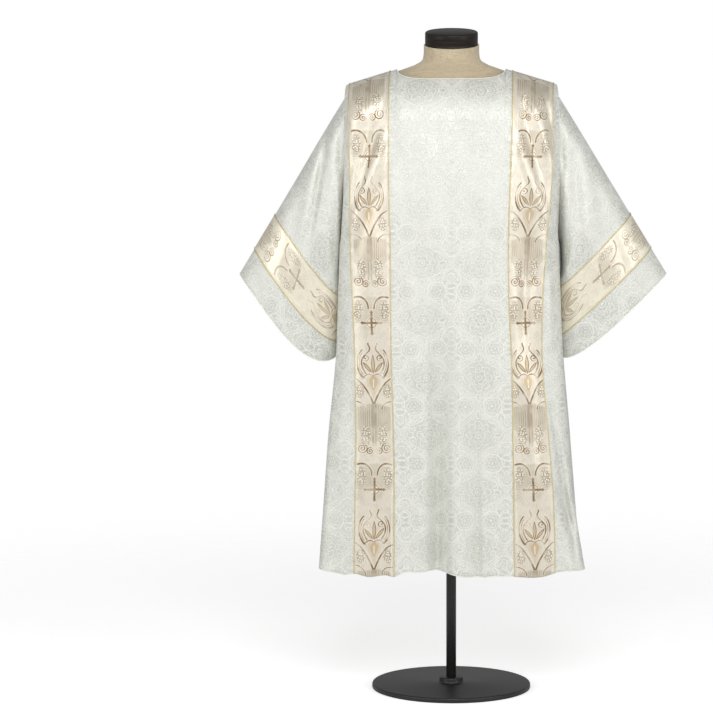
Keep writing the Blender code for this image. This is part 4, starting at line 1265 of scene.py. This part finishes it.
@cache
def facing_material():
    """Viscose satin facing, rolled to the front as a narrow piped edge: soft, even and a little warmer.

    It has a stitch every 2.4 mm."""
    surface, tree, shader = start_material("cream_satin_facing_rolled", {"IOR": 1.5, "Sheen Weight": 0.15})
    known, drawn = on_cloth(tree)
    known["stitch"] = draft(tree, "abs(mod(down/2.4, 1) - 0.5)*2", known, drawn)
    layers = (("damask_field", "min(max(stitch - 0.7, 0)*3, 1)*0.6"),)
    paint(tree, shader, "facing", layers, known, drawn)
    drive(tree, shader, {"Roughness": "0.45 + stitch*0.1"}, known, drawn)
    emboss(tree, shader, "1 - stitch*stitch", known, drawn, 0.0002, 0.5)
    return surface


@cache
def linen_material():
    """Unbleached linen canvas, plain woven: dry and matt, slubbed both ways, with painted shade in its
    hollows.

    Its yarns are 0.8 mm apart and are drawn at 2.2 mm to show, which is pi / 1.428."""
    surface, tree, shader = start_material("linen_canvas_plain_woven", {"IOR": 1.5, "Sheen Weight": 0.2})
    known, drawn = on_cloth(tree)
    add_noise(tree, known, "warp", "flat", (700.0, 60.0))
    add_noise(tree, known, "weft", "flat", (60.0, 700.0))
    add_noise(tree, known, "wear", "flat", (22.0, 22.0), 3.0)
    known["weave"] = draft(tree, "abs(sin(across*1.428)) * abs(sin(down*1.428))", known, drawn)
    layers = (
        ("linen_slub_and_shade", "min(max(1.12 - warp - weft, 0)*2.6, 1)*0.75"),
        # Painted shade: the hollows between the yarns, where the weave is low, are darkened.
        ("linen_slub_and_shade", "(1 - weave)*0.35"),
        ("linen_slub_and_shade", "min(max(wear - 0.45, 0)*2, 1)*0.4"),
    )
    paint(tree, shader, "linen", layers, known, drawn)
    drive(tree, shader, {"Roughness": "0.82 + weave*0.12"}, known, drawn)
    emboss(tree, shader, "weave + warp + weft", known, drawn, 0.0005, 0.5)
    return surface


@cache
def lacquer_material():
    """Turned beech, stained near black and lacquered: a thin gloss coat over grain that runs round it."""
    settings = {"IOR": 1.5, "Specular IOR Level": 0.22, "Coat Weight": 0.07, "Coat Roughness": 0.18}
    surface, tree, shader = start_material("beech_stained_lacquered", settings)
    known, drawn = in_the_round(tree)
    add_noise(tree, known, "grain", "place", (18.0, 18.0, 420.0), 3.0)
    paint(tree, shader, "beech", (("beech_grain", "min(max(grain - 0.42, 0)*4, 1)*0.8"),), known, drawn)
    drive(tree, shader, {"Roughness": "0.38 + grain*0.2"}, known, drawn)
    emboss(tree, shader, "grain", known, drawn, 0.0003, 0.4)
    return surface


@cache
def powder_coat_material():
    """Mild steel, powder coated black: a fine orange peel that breaks up its soft highlights."""
    surface, tree, shader = start_material("steel_powder_coated", {"IOR": 1.5})
    known, drawn = in_the_round(tree)
    add_noise(tree, known, "peel", "place", (700.0, 700.0, 700.0))
    paint(tree, shader, "stand", (("beech_grain", "min(max(peel - 0.5, 0)*3, 1)*0.25"),), known, drawn)
    drive(tree, shader, {"Roughness": "0.34 + peel*0.2"}, known, drawn)
    emboss(tree, shader, "peel", known, drawn, 0.0002, 0.5)
    return surface


def floor_material():
    """Studio floor, matt painted: it gives out a little light, as a lit sweep does, and fades far out."""
    settings = {"IOR": 1.5, "Emission Color": WHITE_LIGHT}
    surface, tree, shader = start_material("studio_floor_matt_painted", settings)
    known, drawn = in_the_round(tree)
    add_noise(tree, known, "tone", "place", (9.0, 9.0, 9.0))
    known["seen"] = add_node(tree, "ShaderNodeLightPath").outputs["Is Camera Ray"]
    paint(tree, shader, "floor", (("floor_tone", "tone*0.1"),), known, drawn)
    glow = f"seen*{bpy.context.scene.dalmatic_stage.floor_glow}"
    drive(tree, shader, {"Roughness": "0.80 + tone*0.1", "Emission Strength": glow}, known, drawn)
    reach = add_node(tree, "ShaderNodeVectorMath", {"operation": "LENGTH"}, {0: known["place"]})
    settings = {"interpolation_type": "SMOOTHSTEP", "From Min": FLOOR_FADE_START, "From Max": FLOOR_RADII[-1]}
    fade = add_node(tree, "ShaderNodeMapRange", settings, {"Value": reach.outputs["Value"]})
    clear = add_node(tree, "ShaderNodeBsdfTransparent")
    links = {0: fade.outputs[0], 1: shader.outputs[0], 2: clear.outputs[0]}
    mix = add_node(tree, "ShaderNodeMixShader", {}, links)
    tree.links.new(mix.outputs[0], tree.nodes["Material Output"].inputs[0])
    return surface


# ---------------------------------------------------------------------------------------------------------
# Sizes and colours to change
# ---------------------------------------------------------------------------------------------------------


def colour_setting(name, description, hex_text):
    return FloatVectorProperty(
        name=name,
        description=description,
        subtype="COLOR",
        size=3,
        min=0.0,
        max=1.0,
        default=linear(hex_text),
    )


def number_setting(name, description, default, unit="NONE", least=0.0):
    return FloatProperty(name=name, description=description, default=default, min=least, unit=unit)


def length_setting(name, description, default, least):
    return number_setting(name, description, default, "LENGTH", least)


class DalmaticCloth(bpy.types.PropertyGroup):
    """Sizes of the cloths and trims"""

    damask_width: length_setting("Damask width", "Width of one repeat of the damask", 0.1445, 0.04)
    damask_height: length_setting("Damask height", "Height of one repeat of the damask", 0.1415, 0.04)
    brocade_repeat: length_setting("Brocade repeat", "From one cross to the next", 0.412, 0.36)
    cord_width: length_setting("Cord width", "Width of the gold edging cord", 0.003, 0.001)
    cord_pitch: length_setting("Cord pitch", "Length of one full turn of its two plies", 0.009, 0.003)
    rolled_edge: length_setting("Rolled edge", "Thickness of the facing rolled over an edge", 0.0026, 0.001)
    pucker: length_setting("Pucker", "Height of the small puckers along the seams", 0.0008, 0.0)


class DalmaticColours(bpy.types.PropertyGroup):
    """Colours of the yarns, the form, the stand and the floor"""

    damask_ground: colour_setting("Damask ground", "Satin ground of the ivory damask", "#C8C9C1")
    damask_figure: colour_setting("Damask figure", "Matt figure of the ivory damask", "#E2E2DB")
    damask_field: colour_setting("Damask field", "Shaded fields within the figure", "#BBBDB3")
    brocade_ground: colour_setting("Brocade ground", "Satin ground of the bands", "#DED7C8")
    # Painted highlight: the sleeve bands' ground is drawn paler than the orphreys' to stand in for the light
    # on them.
    brocade_highlit_ground: colour_setting("Sleeve brocade ground", "Paler ground of the sleeve bands", "#EDE7D4")
    brocade_shade: colour_setting("Brocade shade", "Taupe fields of the bands", "#C2B9A6")
    # Cream weft of grapes, veins and beading, also used as painted highlight in the outlines round the lines.
    brocade_cream_and_highlight: colour_setting("Brocade cream", "Cream weft of outlines and grapes", "#F3EFE5")
    brocade_tan: colour_setting("Brocade tan", "Tan weft of the bud", "#C0A77F")
    brocade_bronze: colour_setting("Brocade bronze", "Bronze weft of crosses and scrolls", "#836B48")
    gold_cord: colour_setting("Gold cord", "Gold yarn of the edging", "#D9CB9E")
    # Painted shade laid into the grooves of the gold cord.
    gold_groove_shade: colour_setting("Gold groove", "Grooves between the cord's plies", "#9C8450")
    facing: colour_setting("Facing", "Rolled facing of neck, cuffs and hem", "#E8E6DA")
    linen: colour_setting("Linen", "Cover of the dress form", "#CDBFA4")
    # Used for the linen's slubs and wear, and as painted shade in the hollows of its weave.
    linen_slub_and_shade: colour_setting("Linen shade", "Hollows and slubs of the linen", "#9F8E72")
    beech: colour_setting("Beech", "Stained wood of the neck cap", "#0E0B09")
    beech_grain: colour_setting("Beech grain", "Lighter grain of the neck cap", "#2C2119")
    stand: colour_setting("Stand", "Powder coat of the pole and base", "#151414")
    floor: colour_setting("Floor", "Paint of the studio floor", "#F4F4F4")
    floor_tone: colour_setting("Floor tone", "Faint clouds in the floor's paint", "#DADADA")


class DalmaticStage(bpy.types.PropertyGroup):
    """Floor, lights and camera"""

    floor_glow: number_setting("Floor glow", "Light the floor gives out", 0.42)
    key_power: number_setting("Key light", "Power of the big soft lamp high in front", 64.0, "POWER")
    fill_power: number_setting("Fill light", "Power of the soft lamp on each side", 46.0, "POWER")
    surround: number_setting("Surround", "Light from the white studio all round", 0.42)
    lens: number_setting("Lens", "Focal length on a 36 mm wide sensor, in millimetres", 141.55, least=10.0)


# ---------------------------------------------------------------------------------------------------------
# Pieces
# ---------------------------------------------------------------------------------------------------------


@cache
def panels():
    """The front and the back, which all the pieces on them share."""
    return Panel(True), Panel(False)


@cache
def sleeve(side):
    """The sleeve of one side, which all the pieces on it share."""
    return Sleeve(side, *panels())


def hang_panel(panel):
    """Cuts one panel to its place on the cloth and hangs it."""
    across = lengths_along(panel.points, 1)
    across = across - across[:, panel.centre][:, None]
    middle = panel.points[:, panel.centre : panel.centre + 1]
    fall = lengths_along(middle, 0)
    fall = fall - np.interp(-DAMASK_MIDDLE_Z, -middle[:, 0, 2], fall[:, 0])
    # The cut's threads hang straight down, so the shoulders rise above the neckline on the same threads.
    fall = fall + (middle[..., 2] - panel.points[..., 2])
    flat = np.stack([across, fall], axis=-1)
    half = WALL / 2
    name = f"{panel.name}_cloth"
    made = cloth_shell(name, panel.points, flat, False, panel.way_out, half, half, damask_material())
    finish_piece(made, [f"{panel.name}_panel"])


class DALMATIC_OT_front_panel(bpy.types.Operator):
    """Cuts and hangs the damask front"""

    bl_idname = "dalmatic.front_panel"
    bl_label = "Front"

    def execute(self, context):
        hang_panel(panels()[0])
        return {"FINISHED"}


class DALMATIC_OT_back_panel(bpy.types.Operator):
    """Cuts and hangs the damask back"""

    bl_idname = "dalmatic.back_panel"
    bl_label = "Back"

    def execute(self, context):
        hang_panel(panels()[1])
        return {"FINISHED"}


class DALMATIC_OT_sleeves(bpy.types.Operator):
    """Sets the two wide damask sleeves"""

    bl_idname = "dalmatic.sleeves"
    bl_label = "Sleeves"

    def execute(self, context):
        for side in SIDES:
            start, end = np.array(SLEEVE_EDGES[side])
            ridge = (end - start) / np.linalg.norm(end - start)
            piece = sleeve(side)
            wrapped = come_round(piece.points, 1)
            level = np.stack([np.abs(wrapped[..., 0]), wrapped[..., 2]], axis=-1) - start
            along = level @ ridge
            square = level @ np.array([-ridge[1], ridge[0]])
            steps = np.hypot(np.diff(square, axis=1), np.diff(wrapped[..., 1], axis=1))
            reach = np.concatenate([np.zeros((len(wrapped), 1)), np.cumsum(steps, axis=1)], axis=1)
            # Both faces are measured down from the ridge, where the piece is folded, to the underarm seam.
            back = slice(piece.underarm + 1, None)
            reach[:, back] = reach[:, -1:] - reach[:, back]
            flat = np.stack([along, reach], axis=-1)
            half = WALL / 2
            name = f"sleeve_cloth_{side}"
            made = cloth_shell(name, piece.points, flat, True, piece.way_out, half, half, damask_material())
            finish_piece(made, [f"sleeve_{side}"])
        return {"FINISHED"}


def draw_in(rows):
    """Moves the first and last rows of a band inwards, so that its cords cover them."""
    for edge, inside in ((0, 1), (-1, -2)):
        inwards = rows[inside] - rows[edge]
        rows[edge] += inwards / np.linalg.norm(inwards, axis=-1, keepdims=True) * BAND_DRAW_IN
    return rows


class DALMATIC_OT_orphreys(bpy.types.Operator):
    """Lays the brocade orphreys down the front and the back"""

    bl_idname = "dalmatic.orphreys"
    bl_label = "Orphreys"

    def execute(self, context):
        for panel in panels():
            for side in SIDES:
                columns = sorted(panel.band_columns(side))
                lifted = panel.points[:, columns] + panel.normals[:, columns] * (WALL / 2 + LAY_GAP)
                lifted = draw_in(lifted.swapaxes(0, 1)).swapaxes(0, 1)
                across = lengths_along(lifted, 1)
                across = across - across[:, -1:] / 2
                middle = len(columns) // 2
                down = lengths_along(lifted[:, middle : middle + 1], 0)
                down = down - np.interp(-CROSS_Z[side], -lifted[:, middle, 2], down[:, 0])
                flat = np.stack([across, np.broadcast_to(down, across.shape)], axis=-1)
                name = f"orphrey_cloth_{panel.name}_{side}"
                surface = brocade_material()
                made = cloth_shell(name, lifted, flat, False, panel.way_out, BAND_THICKNESS, 0.0, surface)
                finish_piece(made, [f"orphrey_{panel.name}_{side}"])
        return {"FINISHED"}


class DALMATIC_OT_sleeve_bands(bpy.types.Operator):
    """Sews a brocade band round each sleeve"""

    bl_idname = "dalmatic.sleeve_bands"
    bl_label = "Sleeve bands"

    def execute(self, context):
        for side in SIDES:
            piece = sleeve(side)
            lifted = piece.points + piece.normals * (WALL / 2 + LAY_GAP)
            lifted = draw_in(lifted[piece.first : piece.last + 1])
            wrapped = come_round(lifted, 1)
            around = lengths_along(wrapped[len(lifted) // 2][None], 1)[0]
            along = lengths_along(wrapped, 0)
            along = along - along[-1:] / 2
            flat = np.stack([along, np.broadcast_to(around - SLEEVE_CROSS[side], along.shape)], axis=-1)
            name = f"sleeve_band_cloth_{side}"
            surface = sleeve_brocade_material()
            made = cloth_shell(name, lifted, flat, True, piece.way_out, BAND_THICKNESS, 0.0, surface)
            finish_piece(made, [f"sleeve_band_{side}"])
        return {"FINISHED"}


def lay_cord(place, edge, inside, normals, closed):
    """Sews one gold cord just inside a band's edge."""
    sizes = bpy.context.scene.dalmatic_cloth
    inwards = (inside - edge) / np.linalg.norm(inside - edge, axis=1, keepdims=True)
    path = edge + inwards * EDGING_WIDTH / 2 + normals * (WALL / 2 + LAY_GAP + sizes.cord_width * CORD_LIFT)
    if closed:
        path, normals = come_round(path), come_round(normals)
    name, width, height = f"edging_cord_{place}", sizes.cord_width, sizes.cord_width * CORD_HEIGHT
    made = twisted_cord(name, path, normals, width, height, sizes.cord_pitch, gold_cord_material(), closed)
    finish_piece(made, [f"edging_{place}"])


class DALMATIC_OT_edging(bpy.types.Operator):
    """Sews gold cord along both edges of every band"""

    bl_idname = "dalmatic.edging"
    bl_label = "Gold edging"

    def execute(self, context):
        for panel in panels():
            for side in SIDES:
                columns = panel.band_columns(side)
                for label, (edge, inside) in {"inner": columns[:2], "outer": columns[:-3:-1]}.items():
                    ends = panel.points[:, edge], panel.points[:, inside], panel.normals[:, edge]
                    lay_cord(f"{panel.name}_{side}_{label}", *ends, False)
        for side in SIDES:
            piece = sleeve(side)
            first, last = piece.first, piece.last
            for label, edge, inside in (("upper", first, first + 1), ("lower", last, last - 1)):
                ends = piece.points[edge], piece.points[inside], piece.normals[edge]
                lay_cord(f"sleeve_{side}_{label}", *ends, True)
        return {"FINISHED"}


def roll_edge(place, path, normals, closed):
    """Rolls the cream facing over one cut edge."""
    size = bpy.context.scene.dalmatic_cloth.rolled_edge
    name = f"rolled_{place}"
    made = twisted_cord(name, path, normals, size, size, ROLL_PITCH, facing_material(), closed, 0.0)
    finish_piece(made)


class DALMATIC_OT_rolled_edges(bpy.types.Operator):
    """Rolls a cream facing over the neckline, the cuffs and the hem"""

    bl_idname = "dalmatic.rolled_edges"
    bl_label = "Rolled edges"

    def execute(self, context):
        for panel in panels():
            neck = np.abs(panel.points[0, :, 0]) < NECK_HALF_WIDTH + ROLL_PAST_NECK
            roll_edge(f"neck_{panel.name}", panel.points[0, neck], panel.normals[0, neck], False)
            roll_edge(f"hem_{panel.name}", panel.points[-1], panel.normals[-1], False)
        for side in SIDES:
            piece = sleeve(side)
            roll_edge(f"cuff_{side}", come_round(piece.points[-1]), come_round(piece.normals[-1]), True)
        return {"FINISHED"}


def form_rings():
    """Rings of the padded form from its foot to the top of its neck, eased in under the cloth."""
    ease = UNDER_CLOTH_EASE
    foot, rise, top = TORSO_RINGS["rows"][0][0], TORSO_RINGS["rows"][1][0], TORSO_RINGS["rows"][-1][0]
    rings = []
    for z in [foot, (foot + rise) / 2, *np.linspace(rise, top, TORSO_LEVELS)]:
        at = read_all(TORSO_RINGS, z)
        sizes = [at[name] - ease for name in ("half_width", "front", "back")]
        rings.append(ring_at(*sizes, at["squareness"], z, 0.0))
    under_cloth = (WALL / 2 + SHOULDER_CLEARANCE + ease) * math.hypot(1, SHOULDER_SLOPE)
    for *sizes, power in SHOULDER_RIDGE_RINGS:
        z = shoulder_z(sizes[0]) - under_cloth
        rings.append(ring_at(*[size - ease for size in sizes], power, z, 0.0))
    numbers = np.arange(len(NECK_RINGS))
    for share in np.linspace(0, numbers[-1], NECK_LEVELS):
        z, *sizes, lean = [float(smooth(numbers, column, share)) for column in np.array(NECK_RINGS).T]
        rings.append(ring_at(*sizes, 2.0, z, NECK_TILT * lean))
    return np.array(rings)


def ring_at(half_width, front, back, power, z, tilt):
    """A ring of the form, level or slanted about the neck's middle; a power above 2 squares it."""
    angles = 2 * np.pi * np.arange(RING_POINTS) / RING_POINTS
    cosine, sine = np.cos(angles), np.sin(angles)
    x = half_width * np.sign(cosine) * np.abs(cosine) ** (2 / power)
    y = np.where(sine > 0, back, front) * np.sign(sine) * np.abs(sine) ** (2 / power)
    return np.stack([x, y, z + (y - NECK_CENTRE_Y) * math.tan(tilt)], axis=1)


def sew_cover(rings):
    """Pulls the cover in along its seams: at the middle front and back, the sides and between them."""
    out = rings - rings.mean(axis=1, keepdims=True)
    out /= np.linalg.norm(out, axis=2, keepdims=True)
    pull = np.zeros(RING_POINTS)
    for at in range(COVER_SEAMS):
        gap = np.arange(RING_POINTS) - RING_POINTS * at / COVER_SEAMS + RING_POINTS / 2
        gap = np.abs(gap % RING_POINTS - RING_POINTS / 2)
        pull = np.maximum(pull, np.exp(-((gap / COVER_SEAM_WIDTH) ** 2)))
    rings[2:] -= out[2:] * (pull * COVER_SEAM_DEPTH)[None, :, None]
    return rings


class DALMATIC_OT_dress_form(bpy.types.Operator):
    """Covers the padded form in linen, with a seam down each princess line, and caps its neck"""

    bl_idname = "dalmatic.dress_form"
    bl_label = "Dress form"

    def execute(self, context):
        rings = sew_cover(form_rings())
        index = np.arange(rings.size // 3).reshape(rings.shape[:2])
        after = np.roll(index, -1, axis=1)
        faces = np.stack([index[:-1], after[:-1], after[1:], index[1:]], axis=-1).reshape(-1, 4)
        faces = [tuple(f) for f in faces] + [tuple(index[0][::-1]), tuple(index[-1])]
        around = lengths_along(come_round(rings, 1), 1)
        up = np.broadcast_to(lengths_along(rings[:, :1], 0), around.shape)
        flat = np.stack([around, up], axis=-1)
        left, right = flat[:, :-1], flat[:, 1:]
        corners = np.stack([left[:-1], right[:-1], right[1:], left[1:]], axis=2).reshape(-1, 2)
        corners = np.concatenate([corners, rings[0, ::-1, :2], rings[-1, :, :2]])
        made = add_mesh("form_cover", rings.reshape(-1, 3), faces, linen_material(), corners)
        finish_piece(made, ["form_torso"])
        cap = [(0.0, CAP_HEIGHT), (CAP_RADIUS - CAP_FLAT_INSET, CAP_HEIGHT)]
        cap += [(CAP_RADIUS - CAP_STEP_INSET, CAP_HEIGHT - CAP_STEP_DROP)]
        cap += rounded(CAP_RADIUS, CAP_HEIGHT, CAP_ROUNDING, True, 6)
        cap += [(CAP_RADIUS, CAP_GROOVE_Z + CAP_GROOVE_HALF_WIDTH)]
        cap += [(CAP_RADIUS - CAP_GROOVE_DEPTH, CAP_GROOVE_Z)]
        cap += [(CAP_RADIUS, CAP_GROOVE_Z - CAP_GROOVE_HALF_WIDTH)]
        cap += [*rounded(CAP_RADIUS, 0.0, CAP_FOOT_ROUNDING, False, 3), (0.0, 0.0)]
        place = (0.0, NECK_CENTRE_Y, NECK_RINGS[-1][0] + LAY_GAP / math.cos(NECK_TILT))
        made = turned("neck_cap", cap, CAP_SECTORS, lacquer_material(), place, NECK_TILT)
        finish_piece(made, ["form_neck_cap"])
        return {"FINISHED"}


class DALMATIC_OT_stand(bpy.types.Operator):
    """Stands the form on its pole and round base"""

    bl_idname = "dalmatic.stand"
    bl_label = "Stand"

    def execute(self, context):
        coat = powder_coat_material()
        base = [(0.0, HUB_HEIGHT), *rounded(HUB_RADIUS, HUB_HEIGHT, BASE_ROUNDING, True)]
        base += [
            (HUB_RADIUS + HUB_FILLET * out, BASE_THICKNESS + HUB_FILLET * up)
            for out, up in ((0.0, 1.0), (0.25, 0.3), (1.0, 0.0))
        ]
        base += rounded(BASE_RADIUS, BASE_THICKNESS, BASE_ROUNDING, True)
        base += [*rounded(BASE_RADIUS, 0.0, BASE_FOOT_ROUNDING, False), (0.0, 0.0)]
        made = turned("stand_base_plate", base, BASE_SECTORS, coat)
        finish_piece(made, ["stand_base"])
        top, foot = TORSO_RINGS["rows"][0][0] - LAY_GAP, HUB_HEIGHT + LAY_GAP
        inner = POLE_RADIUS - POLE_CHAMFER
        pole = [(0.0, top), (inner, top), (POLE_RADIUS, top - POLE_CHAMFER)]
        pole += [(POLE_RADIUS, foot + POLE_CHAMFER), (inner, foot), (0.0, foot)]
        made = turned("stand_tube", pole, POLE_SECTORS, coat)
        finish_piece(made, ["stand_pole"])
        return {"FINISHED"}


def stand_aimed(name, data, place, aim, roll=0.0):
    """Stands a lamp or a camera at its place, turned to what it is aimed at."""
    made = bpy.data.objects.new(name, data)
    made.location = place
    made.rotation_mode = "QUATERNION"
    turn = (Vector(aim) - Vector(place)).to_track_quat("-Z", "Y")
    made.rotation_quaternion = turn @ Matrix.Rotation(roll, 4, "Z").to_quaternion()
    bpy.context.scene.collection.objects.link(made)
    return made


def white_studio(surround):
    """A world that lights the scene softly and looks plain white behind it."""
    world = bpy.data.worlds.new("studio")
    world.use_nodes = True
    tree = world.node_tree
    back = tree.nodes["Background"]
    back.inputs["Color"].default_value = WHITE_LIGHT
    known, drawn = {"seen": add_node(tree, "ShaderNodeLightPath").outputs["Is Camera Ray"]}, {}
    drive(tree, back, {"Strength": f"{surround} + seen*{1.0 - surround}"}, known, drawn)
    return world


class DALMATIC_OT_stage(bpy.types.Operator):
    """Sets the pale floor, the soft lights and the camera"""

    bl_idname = "dalmatic.stage"
    bl_label = "Stage"

    def execute(self, context):
        scene, stage = context.scene, context.scene.dalmatic_stage
        scene.view_settings.view_transform = "Standard"
        points, faces = disc(FLOOR_RADII, [0.0] * (len(FLOOR_RADII) + 1), FLOOR_SECTORS)
        floor = add_mesh("floor", points, faces, floor_material())
        floor.location.z = FLOOR_Z
        scene.world = white_studio(stage.surround)
        for name, (place, aim, size, power) in LAMPS.items():
            lamp = bpy.data.lights.new(name, "AREA")
            lamp.size = size
            lamp.energy = getattr(stage, power)
            stand_aimed(name, lamp, place, aim)
        view = bpy.data.cameras.new("camera")
        view.lens = stage.lens
        view.sensor_width = SENSOR_WIDTH
        view.clip_end = CAMERA_REACH
        scene.camera = stand_aimed("camera", view, CAMERA_PLACE, CAMERA_AIM, CAMERA_ROLL)
        return {"FINISHED"}


class DALMATIC_PT_panel(bpy.types.Panel):
    """The dalmatic's sizes and colours, and its pieces in the order they are made"""

    bl_idname = "DALMATIC_PT_panel"
    bl_label = "Dalmatic"
    bl_space_type = "VIEW_3D"
    bl_region_type = "UI"
    bl_category = "Dalmatic"

    def draw(self, context):
        for name in SETTINGS:
            group = getattr(context.scene, name)
            box = self.layout.box()
            for setting in group.bl_rna.properties.keys():
                if setting not in ("rna_type", "name"):
                    box.prop(group, setting)
        for operator in STEPS:
            self.layout.operator(operator.bl_idname)


STEPS = (
    DALMATIC_OT_stage,
    DALMATIC_OT_dress_form,
    DALMATIC_OT_stand,
    DALMATIC_OT_front_panel,
    DALMATIC_OT_back_panel,
    DALMATIC_OT_sleeves,
    DALMATIC_OT_orphreys,
    DALMATIC_OT_sleeve_bands,
    DALMATIC_OT_edging,
    DALMATIC_OT_rolled_edges,
)
SETTINGS = {
    "dalmatic_cloth": DalmaticCloth,
    "dalmatic_colours": DalmaticColours,
    "dalmatic_stage": DalmaticStage,
}
CLASSES = (*SETTINGS.values(), *STEPS, DALMATIC_PT_panel)


def register():
    for made in CLASSES:
        bpy.utils.register_class(made)
    for name, group in SETTINGS.items():
        setattr(bpy.types.Scene, name, PointerProperty(type=group))


def unregister():
    for name in SETTINGS:
        delattr(bpy.types.Scene, name)
    for made in reversed(CLASSES):
        bpy.utils.unregister_class(made)


def main():
    register()
    for step in STEPS:
        group, name = step.bl_idname.split(".")
        getattr(getattr(bpy.ops, group), name)()


if __name__ == "__main__":
    main()
